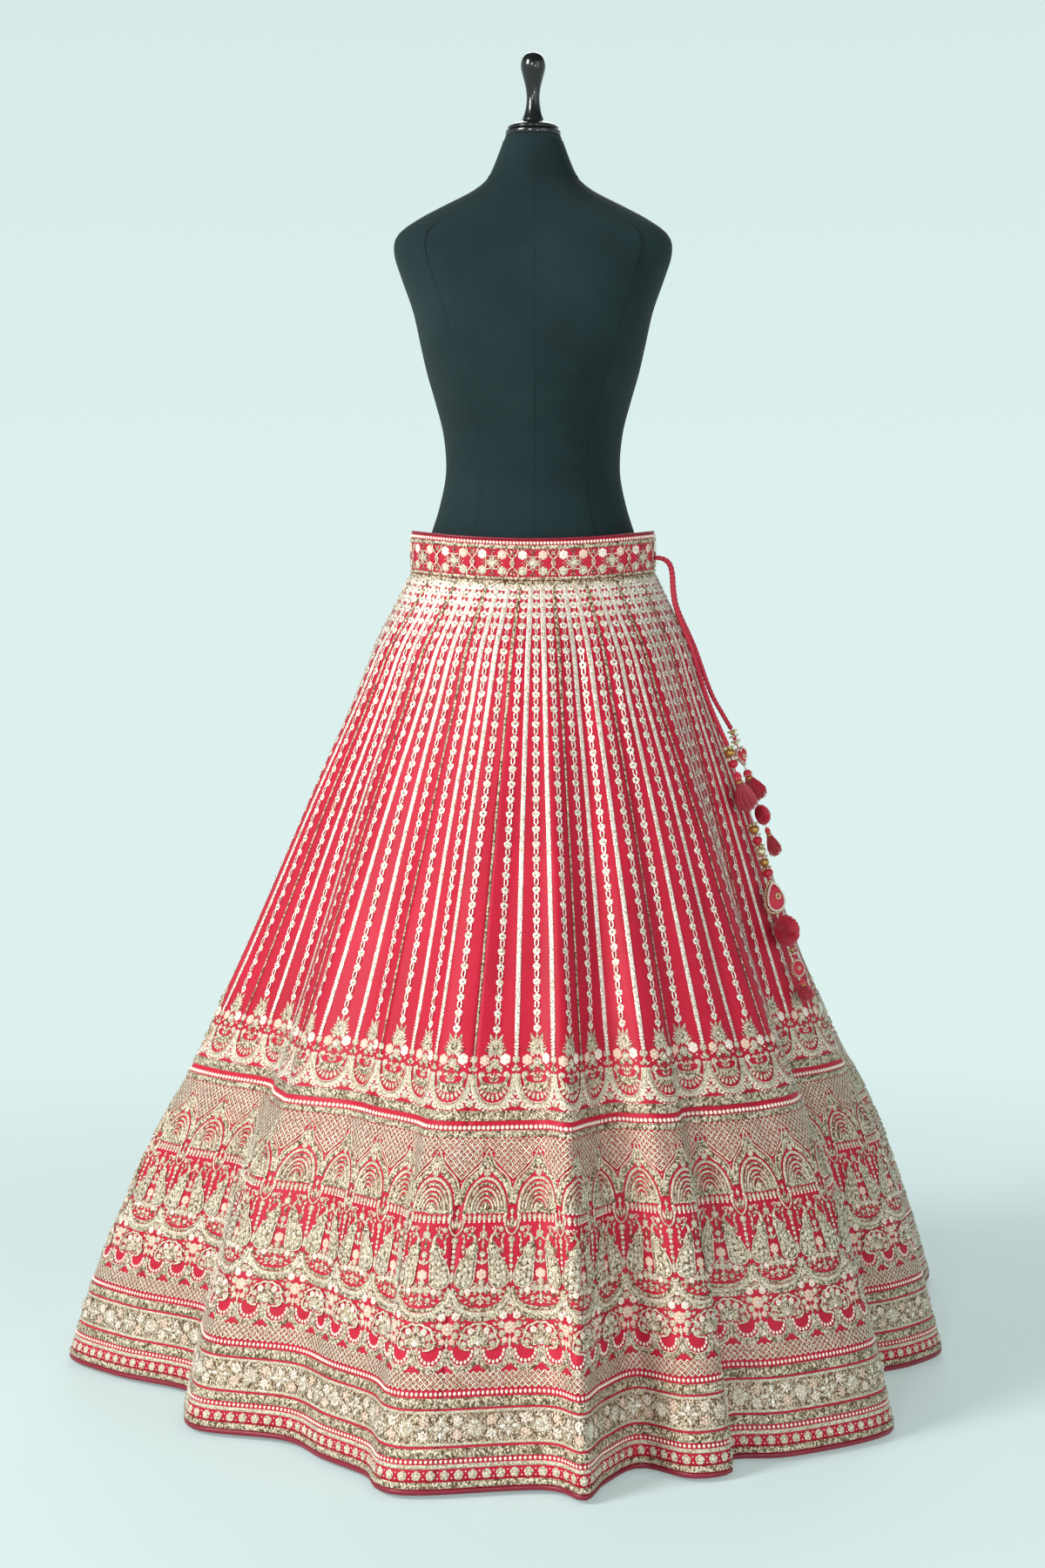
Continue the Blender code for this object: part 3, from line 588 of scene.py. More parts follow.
def make_bands(finish):
    """The two halves of the band, which meet at the side seams."""
    right = float(np.argmax(WAIST[:, 0])) / LINE_POINTS
    left = float(np.argmin(WAIST[:, 0])) / LINE_POINTS
    girth = np.linalg.norm(np.roll(WAIST, -1, axis=0) - WAIST, axis=1).sum()
    trim = SEAM_GAP / 2 / girth
    for name, start, end in (("back", right, left), ("front", left, right + 1)):
        share = np.linspace(0.0, 1.0, BAND_ROWS + 1)[:, None]
        around = np.broadcast_to(np.linspace(start + trim, end - trim, BAND_COLUMNS + 1),
                                 (BAND_ROWS + 1, BAND_COLUMNS + 1))
        rise = SEAM_GAP + (BAND_HEIGHT - SEAM_GAP) * share
        swell = np.broadcast_to(BAND_PROUD + BAND_CROWN * np.sin(math.pi * share), around.shape)
        outer = band_point(around, rise, swell)
        inner = band_point(around, rise, np.full(around.shape, BAND_PROUD - BAND_WALL))
        cut = np.stack([(around - start) * girth, np.broadcast_to(rise, around.shape)], axis=-1)
        made = add_piece(f"waistband_{name}_silk",
                         np.concatenate([outer.reshape(-1, 3), inner.reshape(-1, 3)]),
                         wall_faces(*around.shape), (finish,),
                         cut=np.tile(cut.reshape(-1, 2), (2, 1)))
        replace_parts(made, f"waistband_{name}")


def woven_finish(name, dark, light, mottle, grain, roughness, relief):
    """Plain cloth: two close colours mottled at one scale and woven at a finer one."""
    made, wire = new_finish(name)
    spot = place_of(wire)
    weave = spot.noise(grain)
    wire.paint({"Base Color": spot.noise(mottle).between(dark, light),
                "Roughness": roughness + weave * 0.2, "Normal": bump(wire, weave, relief)})
    return made


def roll(name, centres, out, up, radii, finish, node):
    """A piped roll round a closed line, from its centres and its cross-section's axes."""
    turn = np.linspace(0.0, 2 * math.pi, PIPING_SIDES, endpoint=False)
    grid = (centres[None] + out[None] * (radii[0] * np.cos(turn))[:, None, None]
            + up[None] * (radii[1] * np.sin(turn))[:, None, None])
    rows, columns = grid.shape[:2]
    faces = np.stack(grid_cells(rows + 1, columns, ring=True), axis=1) % (rows * columns)
    made = add_piece(name, grid.reshape(-1, 3), faces, (finish,))
    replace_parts(made, node)


def make_pipings(finish):
    upright = (0.0, 0.0, 1.0)
    around = np.arange(HEM_PIPING_STEPS) / HEM_PIPING_STEPS
    edge, out = read_grid(CLOTH, around, 0.0 * around), read_grid(CLOTH_OUT, around, 0.0 * around)
    out[:, 2] = 0.0
    out /= np.linalg.norm(out, axis=-1, keepdims=True)
    centres = edge + out * (BAND_PROUD - PIPING / 2)
    low, high = HEM_PIPING_FOOT, HEM_HEIGHT - SEAM_GAP / 2
    centres[:, 2] = (low + high) / 2
    roll("hem_piping_roll", centres, out, np.broadcast_to(upright, out.shape),
         (HEM_PIPING_HALF, (high - low) / 2), finish, "hem_piping")
    around = np.arange(WAIST_PIPING_STEPS) / WAIST_PIPING_STEPS
    centres = band_point(around, BAND_HEIGHT + SEAM_GAP + PIPING / 2,
                         np.full(WAIST_PIPING_STEPS, BAND_PROUD - PIPING / 2))
    out = waist_out(around)
    roll("waist_piping_roll", centres, out, np.broadcast_to(upright, out.shape),
         (PIPING / 2, PIPING / 2), finish, "waist_piping")


make_bands(SILK)
make_pipings(woven_finish("dark red satin piping", dye(112, 10, 34), dye(142, 16, 44),
                          60.0, 900.0, 0.34, 0.0002))


# ---- embroidery: stripes and flower chains ----
# Zardozi worked on a frame: coiled gold wire, cut sequins, pearls and silk floss, all
# couched to the silk. Sequin stripes and chains of small flowers run up every third of
# a kali, and a thin beaded line covers each seam.
REPEATS = 3 * KALIS
RISE_MM = 1000 * CLOTH_RISE
HEM_MM = 1000 * HEM_HEIGHT
STAND_OFF = 0.35            # how far the lowest stitches stand off the silk, in mm
ZARI, PALE, SEQUIN, PEARL, PEACH = range(5)


def metal_thread(name, dark, middle, light, depth, roughness, metallic, grain, relief):
    """Couched metal: fine cells with painted glints, and painted shade in the recesses."""
    made, wire = new_finish(name)
    spot = place_of(wire)
    coil = spot.stretched(grain * 1.3, grain * 1.3, grain * 0.8)
    cell = coil.cells(1.0)
    tint = coil.cells(1.0, "Color")
    patch = spot.noise(34.0)
    # Painted highlight: some cells and brighter patches are mixed towards the light colour as
    # glints.
    painted_glint_share = (tint * 0.75 + patch * 0.35).ramp((0.36, 0.0), (0.72, 1.0))
    # Painted shade: the dark colour is laid in the recesses at the cells' edges and on some whole
    # cells.
    painted_recess_shade = cell.ramp((0.30, 0.0), (0.66, depth)) + tint.ramp((0.28, depth), (0.38, 0.0))
    wire.paint({"Base Color": painted_recess_shade.between(painted_glint_share.between(middle, light), dark),
                "Roughness": roughness + tint * 0.22, "Metallic": metallic,
                "Normal": bump(wire, 1.0 - cell, relief)})
    return made


def pearl_finish():
    made, wire = new_finish("blush pearl")
    tint = place_of(wire).noise(130.0)
    wire.paint({"Base Color": tint.between(dye(226, 196, 184), dye(246, 232, 218)),
                "Roughness": 0.16 + tint * 0.16, "Coat Weight": 0.5})
    return made


def floss_finish():
    made, wire = new_finish("peach floss")
    strand = place_of(wire).noise(900.0)
    wire.paint({"Base Color": strand.between(dye(212, 162, 140), dye(242, 210, 190)),
                "Roughness": 0.5, "Normal": bump(wire, strand, 0.0004)})
    return made


THREADS = (
    # in the order of ZARI, PALE, SEQUIN, PEARL, PEACH
    # Each metal thread's colours: painted shade for its recesses, its own gold, then painted
    # glint.
    metal_thread("dull gold zari", dye(84, 58, 32), dye(173, 150, 112), dye(248, 234, 206),
                 0.72, 0.28, 0.25, 400, 0.0009),
    metal_thread("pale gold dabka", dye(126, 100, 66), dye(213, 195, 160), dye(250, 243, 226),
                 0.55, 0.26, 0.2, 800, 0.0005),
    metal_thread("champagne sequins", dye(182, 148, 114), dye(255, 241, 224), dye(255, 252, 247),
                 0.40, 0.08, 0.3, 440, 0.0008),
    pearl_finish(),
    floss_finish(),
)


def halved(a, b, c, d):
    """Two triangles in place of each four-sided cell."""
    return np.concatenate([np.stack([a, b, c], axis=1), np.stack([a, c, d], axis=1)])


def stitched(points, faces, finish):
    """A motif: points in mm (across, up, lift), its triangles and each one's finish."""
    faces = np.array(faces, int)
    return np.array(points, float), faces, np.full(len(faces), finish)


def together(*motifs):
    """One motif from several."""
    counts = np.cumsum([0] + [len(motif[0]) for motif in motifs])
    return (np.concatenate([motif[0] for motif in motifs]),
            np.concatenate([motif[1] + start for motif, start in zip(motifs, counts)]),
            np.concatenate([motif[2] for motif in motifs]))


def placed(motif, x=0.0, y=0.0, turn=0.0, lift=0.0):
    """The motif turned about its origin, in degrees to the left, and then moved."""
    points, faces, finishes = motif
    c, s = math.cos(math.radians(turn)), math.sin(math.radians(turn))
    moved = np.stack([points[:, 0] * c - points[:, 1] * s + x,
                      points[:, 0] * s + points[:, 1] * c + y, points[:, 2] + lift], axis=1)
    return moved, faces, finishes


def fan(ring, middle, finish):
    """Triangles from a ring of points to one in their middle."""
    count = len(ring)
    return stitched([*ring, middle], [(i, (i + 1) % count, count) for i in range(count)], finish)


def round_petal(length, width, finish, lift):
    """A short padded petal with a blunt tip."""
    side = ((0.44 * width, 0.42 * length, 0.0), (0.34 * width, 0.93 * length, 0.0))
    return fan(((0.0, 0.0, 0.0), *side, *((-x, y, z) for x, y, z in reversed(side))),
               (0.0, 0.6 * length, lift), finish)


def bead(radius, finish, height, sides=6, tall=1.0):
    turn = np.linspace(0.0, 2 * math.pi, sides, endpoint=False)
    ring = np.stack([radius * np.cos(turn), radius * tall * np.sin(turn), 0.0 * turn], axis=1)
    return fan(ring, (0.0, 0.0, height), finish)


def flower(petals, radius, finish, lift, eye=SEQUIN):
    """Round petals about a beaded eye."""
    width = 1.84 * radius * math.sin(math.pi / petals)
    one = placed(round_petal(radius * 0.88, width, finish, lift), y=radius * 0.12)
    whole = [placed(one, turn=360 / petals * number) for number in range(petals)]
    return together(*whole, bead(radius * 0.36, eye, lift * 1.7, 6))


def line_rows(path, width, *rows):
    """Rows of points beside a path, each so many half widths out and so high."""
    path = np.array(path, float)[:, :2]
    along = np.gradient(path, axis=0)
    side = np.stack([-along[:, 1], along[:, 0]], axis=1)
    side *= np.broadcast_to(width, len(path))[:, None] / 2 / np.linalg.norm(
        side, axis=1, keepdims=True)
    points = [np.hstack([path + side * out, np.full((len(path), 1), float(lift))])
              for out, lift in rows]
    return np.concatenate(points), halved(*grid_cells(len(rows), len(path)))


def tape(path, width, finish, lift):
    """A flat line of thread, for work too fine to round."""
    return stitched(*line_rows(path, width, (-1, lift), (1, lift)), finish)


def level(width, low, high, finish, lift, steps=8):
    """A straight band across one repeat, with a crowned face between two firm edges."""
    x = np.linspace(-width / 2, width / 2, steps + 1)
    inset = min(0.8, (high - low) * 0.3)
    rows = ((low, 0.0), (low + inset, lift), (high - inset, lift), (high, 0.0))
    points = [(a, y, z) for y, z in rows for a in x]
    return stitched(points, halved(*grid_cells(len(rows), steps + 1)), finish)


def on_cloth(around, height):
    up = (height - HEM_MM) / RISE_MM
    return read_grid(CLOTH, around, up), read_grid(CLOTH_OUT, around, up)


def copied(spots, faces, finishes):
    """Many copies of one motif, from each copy's points, as one set of triangles."""
    count, size = spots.shape[:2]
    starts = (np.arange(count) * size)[:, None, None]
    return (spots.reshape(-1, 3), (faces[None] + starts).reshape(-1, 3), np.tile(finishes, count))


def wrapped(motif, width, repeats=REPEATS, surface=on_cloth):
    """The motif once in each repeat all round, bent to the surface."""
    points, faces, finishes = motif
    number = np.arange(repeats)[:, None]
    around = (number + 0.5 + points[None, :, 0] / width) / repeats
    height = np.broadcast_to(points[None, :, 1], around.shape)
    spots, out = surface(around, height)
    spots = spots + out * (points[None, :, 2:] + STAND_OFF) / 1000
    return copied(spots, faces, finishes)


def scattered(motif, around, height, sizes):
    """Small motifs laid flat on the cloth, each at its own place and size."""
    points, faces, finishes = motif
    spots, out = on_cloth(around, height)
    above, _ = on_cloth(around, height + 4.0)
    along = above - spots
    along -= out * (along * out).sum(axis=-1, keepdims=True)
    along /= np.linalg.norm(along, axis=-1, keepdims=True)
    across = np.cross(along, out)
    scale = np.asarray(sizes)[:, None, None] / 1000
    laid = (spots[:, None] + across[:, None] * points[None, :, :1] * scale
            + along[:, None] * points[None, :, 1:2] * scale
            + out[:, None] * (points[None, :, 2:] * scale + STAND_OFF / 1000))
    return copied(laid, faces, finishes)


def embroider(name, *parts):
    """One piece from sets of triangles already on the cloth."""
    points, faces, finishes = together(*parts)
    return add_piece(name, points, faces, THREADS, finishes)


CHAIN_FOOT = 466.0
CHAIN_HEAD = 969.0
RING_HALF = 0.85                # half the length of the chain's ring, as it is drawn
RING_OVERLAP = 3.4              # how far its two ends together run under the flowers
TOP_LINE = (965.0, 971.8)       # the gold line that ends the chains under the band
STRIPE_FOOT = 441.0
STRIPE_HEAD = 971.0
STRIPE_STEP = 8.9
STRIPE_WIDENS = 760.0           # from here up to its head
STRIPE_TAPER = 30.0             # how far up from its foot a stripe reaches its full width
WIDE_STRIPE = (5.2, 6.5)        # width at the foot and at the head
SEAM_STRIPE = (2.4, 5.2)
SEQUIN_PITCH = 3.5
SEQUIN_WIDTH = 1.06 * WIDE_STRIPE[0]
SEAM_BEAD_PITCH = 4.6


def repeat_width(height):
    """Mean width of one repeat at a height, in mm."""
    heights = np.linspace(0.0, RISE_MM, GRID_ROWS + 1) + HEM_MM
    steps = np.linalg.norm(np.roll(CLOTH, -1, axis=1) - CLOTH, axis=-1)
    return np.interp(height, heights, steps.sum(axis=1) * 1000 / REPEATS)


def chain_flower(height):
    """Radius of the chain's flower at a height: a little more where the repeats are narrow."""
    return np.interp(repeat_width(height), (13.0, 20.0, 44.0), (5.1, 4.8, 4.5))


def chain_heights():
    """Heights of the chain's flowers: a ring between each two, until they touch on top."""
    heights = [CHAIN_FOOT + 6.0]
    while heights[-1] < CHAIN_HEAD - 5.0:
        apart = np.interp(repeat_width(heights[-1]), (14.0, 20.0), (-0.6, 7.4))
        heights.append(heights[-1] + 2.0 * chain_flower(heights[-1]) + apart)
    return np.array([height for height in heights if height < CHAIN_HEAD])


def flower_chains():
    heights = chain_heights()
    sizes = chain_flower(heights)
    middles = (heights[1:] + heights[:-1]) / 2
    gaps = heights[1:] - heights[:-1] - sizes[1:] - sizes[:-1]
    links = (gaps + RING_OVERLAP) / (2 * RING_HALF)
    blossom = flower(5, 1.0, SEQUIN, 0.26, ZARI)
    turns = np.radians(np.arange(7) * 60.0)
    oval = np.stack([0.36 * np.sin(turns), RING_HALF * np.cos(turns)], axis=1)
    ring = tape(oval, 0.24, SEQUIN, 0.2)
    turn = (np.arange(REPEATS) + 0.5) / REPEATS
    parts = []
    for motif, places, scales in ((blossom, heights, sizes), (ring, middles, links)):
        around, height = (grid.ravel() for grid in np.meshgrid(turn, places))
        parts.append(scattered(motif, around, height, np.repeat(scales, REPEATS)))
    return [*parts, wrapped(level(1.0, *TOP_LINE, ZARI, 0.7, 2), 1.0)]


def stripe(edges, foot, head, finish, lift):
    """A padded stripe up the cloth at each of the given places, foot and head mm wide."""
    heights = np.arange(STRIPE_FOOT, STRIPE_HEAD, STRIPE_STEP)
    slim = np.clip((heights - STRIPE_FOOT) / STRIPE_TAPER, 0.5, 1.0)
    parts = []
    for edge in edges:
        around = np.full(len(heights), edge)
        spots, out = on_cloth(around, heights)
        along = np.gradient(spots, axis=0)
        across = np.cross(along, out)
        across /= np.linalg.norm(across, axis=-1, keepdims=True)
        width = np.interp(heights, (STRIPE_FOOT, STRIPE_WIDENS, STRIPE_HEAD), (foot, foot, head))
        half = (width * slim / 2000)[:, None]
        base = spots + out * STAND_OFF / 1000
        grid = np.stack([base - across * half, base + out * lift / 1000, base + across * half])
        a, b, c, d = grid_cells(3, len(heights))
        parts.append(stitched(grid.reshape(-1, 3), halved(a, d, c, b), finish))
    return together(*parts)


def sequin_stripes():
    seams = np.arange(KALIS) / KALIS
    inside = np.delete(np.arange(REPEATS), np.arange(0, REPEATS, 3)) / REPEATS
    heights = np.arange(STRIPE_FOOT + 4.0, STRIPE_HEAD - 2.0, SEQUIN_PITCH)
    sequin = fan(((0.5, 0.0, 0.12), (0.3, 0.30, 0.06), (-0.3, 0.30, 0.06), (-0.5, 0.0, 0.12),
                  (-0.3, -0.30, 0.18), (0.3, -0.30, 0.18)), (0.0, 0.0, 0.27), SEQUIN)
    around, height = (grid.ravel() for grid in np.meshgrid(inside, heights))
    dots = np.arange(STRIPE_FOOT + 6.0, STRIPE_HEAD - 2.0, SEAM_BEAD_PITCH)
    seam_around, seam_height = (grid.ravel() for grid in np.meshgrid(seams, dots))
    return [stripe(inside, *WIDE_STRIPE, SEQUIN, 0.7),
            stripe(seams, *SEAM_STRIPE, ZARI, 0.8),
            scattered(sequin, around, height, np.full(len(height), SEQUIN_WIDTH)),
            scattered(bead(1.0, PALE, 1.1, 4), seam_around, seam_height,
                      np.ones(len(seam_around)))]


embroider("stripes_and_flower_chains", *flower_chains(), *sequin_stripes())


# ---- embroidery: bouquet border ----
# Each chain ends in a bouquet that stands in a boat-shaped bowl, inside a deep scallop of
# couched gold. Pearls follow the scallops, and firm gold bands close the border below.
BOUQUET_WIDTH = 47.0
SCALLOP_CUSP = 424.0
SCALLOP_FOOT = 390.2
CROWN_HEIGHT = 453.0
CLOSING_WIDTH = 50.0


def mirrored(motif):
    points, faces, finishes = motif
    return points * (-1.0, 1.0, 1.0), faces[:, ::-1], finishes


def both_sides(*motifs):
    whole = together(*motifs)
    return together(whole, mirrored(whole))


def petal(length, width, finish, lift):
    """A padded petal that points up from the origin."""
    right = ((0.42 * width, 0.34 * length, 0.0), (0.40 * width, 0.80 * length, 0.0))
    left = tuple((-x, y, z) for x, y, z in reversed(right))
    return fan(((0.0, 0.0, 0.0), *right, (0.0, length, 0.0), *left),
               (0.0, 0.56 * length, lift), finish)


def leaf(length, width, finish, lift):
    """A slim leaf, for work too small to round."""
    return fan(((0.0, 0.0, 0.0), (0.5 * width, 0.46 * length, 0.0), (0.0, length, 0.0),
                (-0.5 * width, 0.46 * length, 0.0)), (0.0, 0.5 * length, lift), finish)


def set_out(motif, rows):
    """Motifs of one kind, each with four measures of its own, x, y and perhaps a turn."""
    return together(*(placed(motif(*own[:4]), *own[4:]) for own in rows))


def flowers(*rows):
    """Flowers from rows of petals, radius, finish, lift, x, y and perhaps a turn."""
    return set_out(flower, rows)


def leaves(*rows):
    """Leaves from rows of length, width, finish, lift, x, y and perhaps a turn."""
    return set_out(leaf, rows)


def beads(*rows):
    """Beads from rows of radius, finish, height, sides, x and y."""
    return set_out(bead, rows)


def rosette(petals, radius, width, finish, lift, turn=0.0):
    """Leaves that radiate evenly from a point."""
    one = leaf(radius, width, finish, lift)
    return together(*(placed(one, turn=turn + 360 / petals * n) for n in range(petals)))


def band(path, width, finish, lift=0.8):
    """A padded line: its two edges on the cloth and its middle standing up."""
    return stitched(*line_rows(path, width, (-1, 0.0), (0, lift), (1, 0.0)), finish)


def curl(x, y, radius, start, sweep, width):
    """A scrolled end that winds in on itself and thins out."""
    share = np.linspace(0.0, 1.0, 8)
    turn = np.radians(start + sweep * share)
    reach = radius * (1.0 - 0.82 * share)
    path = np.stack([x + reach * np.cos(turn), y + reach * np.sin(turn)], axis=1)
    return band(path, width * (1.0 - 0.5 * share), PALE)


def beaded(path, pitch, motif):
    """Copies of a motif at even steps along a path."""
    path = np.array(path, float)[:, :2]
    run = np.concatenate([[0.0], np.cumsum(np.linalg.norm(np.diff(path, axis=0), axis=1))])
    count = max(1, round(run[-1] / pitch))
    places = run[-1] * (np.arange(count) + 0.5) / count
    return together(*(placed(motif, x, y) for x, y in zip(
        np.interp(places, run, path[:, 0]), np.interp(places, run, path[:, 1]))))


def row(width, y, count, motif, shift=0.5):
    """Copies of a motif in a level row across one repeat."""
    return together(*(placed(motif, width * ((n + shift) / count - 0.5), y)
                      for n in range(count)))


def bead_rows(width, *rows):
    """Level rows of beads: height, how many to a repeat, their shift and the bead itself."""
    return together(*(row(width, y, count, bead(*own), shift) for y, count, shift, *own in rows))


def scallop(width, cusp, foot, steps=14, reach=1.0):
    """The line of one scallop that hangs between two cusps."""
    turn = np.radians(np.linspace(-90, 90, steps + 1))
    x = width / 2 * reach * np.sign(np.sin(turn)) * np.abs(np.sin(turn)) ** 0.86
    return np.stack([x, cusp - (cusp - foot) * np.cos(turn)], axis=1)


def blossom_bowl():
    """A crescent bowl on a fluted foot, with a beaded body and curled ends."""
    lip = through(((-14.6, 421.0), (-11.0, 417.2), (-5.4, 415.4), (0.0, 415.0)), 3)
    keel = through(((-14.6, 421.0), (-13.4, 412.0), (-7.2, 406.4), (0.0, 405.0)), 3)
    middle, thick = (lip + keel) / 2, np.linalg.norm(lip - keel, axis=1)
    body = band(middle, thick * 0.96, ZARI, 2.0)
    rows = together(beaded(middle + (0.0, 1.9), 3.0, bead(1.2, SEQUIN, 2.6, 4)),
                    beaded(middle - (0.0, 2.1), 3.0, bead(1.1, PALE, 2.4, 4)))
    flutes = together(*(placed(petal(7.8 - abs(turn) * 0.03, 3.6, PALE, 1.7),
                               13.0 * math.sin(math.radians(turn)),
                               417.6 - 13.0 * math.cos(math.radians(turn)), 180 + turn)
                        for turn in (-62, -46.5, -31, -15.5)))
    ray = placed(petal(7.8, 3.6, PALE, 1.7), 0.0, 404.6, 180)
    scroll = curl(-12.6, 423.4, 4.2, 250, -330, 3.4)
    tip = beads((1.7, SEQUIN, 2.2, 6, -12.4, 423.6))
    return together(both_sides(body, rows, flutes, scroll, tip), ray)


def bouquet():
    """The bowl, its stalk, its flowers and leaves, and the round crown that tops them."""
    eye = together(rosette(16, 11.4, 3.7, PALE, 1.7), rosette(8, 6.6, 3.6, ZARI, 2.6, 11),
                   bead(2.4, SEQUIN, 3.2, 7))
    crown = together(placed(eye, 0.0, CROWN_HEIGHT),
                     *(placed(leaf(8.0, 3.2, PALE, 1.6), x, CROWN_HEIGHT + 6.6, turn)
                       for x, turn in ((-4.6, 22), (0.0, 0), (4.6, -22))),
                     beads((1.4, PEARL, 1.6, 5, 0.0, CROWN_HEIGHT + 15.0)))
    blooms = flowers((6, 6.2, PEARL, 1.9, 11.4, 440.0), (6, 6.0, PEACH, 1.9, -11.2, 438.8),
                     (6, 5.6, PALE, 2.3, 0.0, 436.0, 12), (5, 3.8, ZARI, 1.7, 6.0, 430.4),
                     (5, 3.8, ZARI, 1.7, -6.0, 430.4))
    foliage = both_sides(
        leaves((8.4, 3.8, PALE, 1.4, 4.2, 441.6, -26), (7.4, 3.4, ZARI, 1.3, 7.0, 446.6, -48),
               (7.0, 3.2, PALE, 1.4, 2.6, 425.4, -112), (6.4, 3.0, PALE, 1.5, 0.8, 416.4, -50),
               (6.4, 3.0, PALE, 1.5, 0.8, 420.6, -50)), beads((1.2, PEARL, 1.4, 5, 14.4, 432.2)))
    stalk = leaves((11.0, 3.6, ZARI, 1.6, 0.0, 416.0))
    return together(blossom_bowl(), crown, blooms, foliage, stalk)


def gold_scallops():
    """One deep scallop with its pearls, and what hangs from the cusp between two."""
    line = scallop(BOUQUET_WIDTH, SCALLOP_CUSP, SCALLOP_FOOT, reach=0.97)
    inner = scallop(BOUQUET_WIDTH, SCALLOP_CUSP, SCALLOP_FOOT + 3.8, reach=0.83)
    outer = scallop(BOUQUET_WIDTH, SCALLOP_CUSP - 8.0, SCALLOP_FOOT - 4.9)[2:-2]
    bud = together(
        flowers((6, 4.3, PALE, 1.7, 0.0, 439.6)),
        leaves((9.6, 5.6, ZARI, 1.7, 0.0, 426.6), (7.6, 3.6, PALE, 1.5, 0.0, 418.6)),
        both_sides(leaves((6.0, 3.0, PALE, 1.4, 1.0, 427.0, -48)),
                   beads((1.3, PEARL, 1.5, 5, 3.0, 423.4))))
    dots = beads(*((radius, PEARL, 1.8, 5, x, y) for x, y, radius in (
        (0.0, 412.6, 1.3), (-2.4, 408.0, 1.3), (2.4, 408.0, 1.3), (0.0, 403.6, 1.6),
        (-4.4, 402.0, 1.2), (4.4, 402.0, 1.2), (-8.6, 394.6, 1.3), (8.6, 394.6, 1.3),
        (-12.0, 390.0, 1.1), (12.0, 390.0, 1.1))))
    corner = together(flowers((6, 4.8, PALE, 1.8, 0.0, 394.6)),
                      both_sides(leaves((7.0, 3.2, PALE, 1.3, 4.4, 391.0, -96))))
    return together(
        band(line, 5.8, PALE, 1.5), tape(inner, 1.1, PALE, 0.9),
        beaded(line, 2.7, bead(1.15, SEQUIN, 2.4, 4)),
        beaded(outer, 4.6, bead(1.65, PEARL, 2.0, 6)),
        placed(together(bud, dots, corner), x=BOUQUET_WIDTH / 2))


def closing_bands():
    """The gold bands, red line and pearls that divide one border from the next."""
    return together(
        level(CLOSING_WIDTH, 376.4, 386.6, ZARI, 1.5),
        level(CLOSING_WIDTH, 359.4, 366.4, ZARI, 1.3, 6),
        bead_rows(CLOSING_WIDTH, (383.6, 17, 0.5, 1.3, SEQUIN, 2.1, 4),
                  (379.4, 17, 1.0, 1.3, PALE, 2.1, 4), (369.6, 10, 0.5, 2.1, PEARL, 2.3, 7, 1.1),
                  (362.9, 12, 0.5, 1.9, SEQUIN, 2.0, 4)))


embroider("bouquet_border", wrapped(together(bouquet(), gold_scallops()), BOUQUET_WIDTH),
          wrapped(closing_bands(), CLOSING_WIDTH))


# ---- embroidery: domed arches ----
# Domes built of concentric arcs stand under ogee arches. The ground above them is netted
# with a diamond lattice, and little lamps with beaded drops stand where two arches meet.
DOME_WIDTH = 55.5
DOME_FOOT = 286.6
DOME_TALL = 1.56            # height of the dome's ribs as a share of their radius
LATTICE_TOP = 358.8


def padded_shape(outline, finish, lift):
    """Satin stitch over padding: an outline crowned towards its middle."""
    outline = np.array(outline, float)[:, :2]
    count, middle = len(outline), outline.mean(axis=0)
    inner = middle + (outline - middle) * 0.7
    points = [*np.hstack([outline, np.zeros((count, 1))]),
              *np.hstack([inner, np.full((count, 1), lift * 0.85)]), (*middle, lift)]
    faces = []
    for i in range(count):
        j = (i + 1) % count
        faces += [(i, j, count + j), (i, count + j, count + i), (count + i, count + j, 2 * count)]
    return stitched(points, faces, finish)


def arc(y, radius, start, end, steps, tall=1.0):
    turn = np.radians(np.linspace(start, end, steps + 1))
    return np.stack([radius * np.cos(turn), y + radius * tall * np.sin(turn)], axis=1)


def lattice(width, low_line, top, columns, rise, rows, thick=1.6, finish=PALE):
    """Diamond netting of couched thread over the part of a repeat above its lower line."""
    lines, dots = [], []
    step = width / columns / 2
    for r in range(rows):
        y = top - r * rise
        for c in range(columns * 2):
            x = -width / 2 + c * step
            if (r + c) % 2:
                if r > 0 and low_line(x) < y - rise * 0.4:
                    dots.append(placed(bead(0.95, SEQUIN if c % 4 == 1 else PALE, 1.0, 4),
                                       x, y))
                continue
            for way in (-1, 1):
                if low_line(x) < y and low_line(x + way * step) < y - rise * 0.6:
                    lines.append(tape(((x, y), (x + way * step, y - rise)), thick, finish, 0.7))
    return together(*lines, *dots)


OUTER_OGEE = ((-27.7, 297.0), (-26.4, 309.0), (-22.0, 319.4), (-14.6, 326.4), (-9.0, 331.4),
              (-4.0, 339.6), (0.0, 348.6))
INNER_OGEE = ((-27.0, 293.0), (-23.8, 307.0), (-19.0, 315.6), (-12.0, 322.0), (-6.6, 327.4),
              (-2.6, 334.6), (0.0, 340.6))


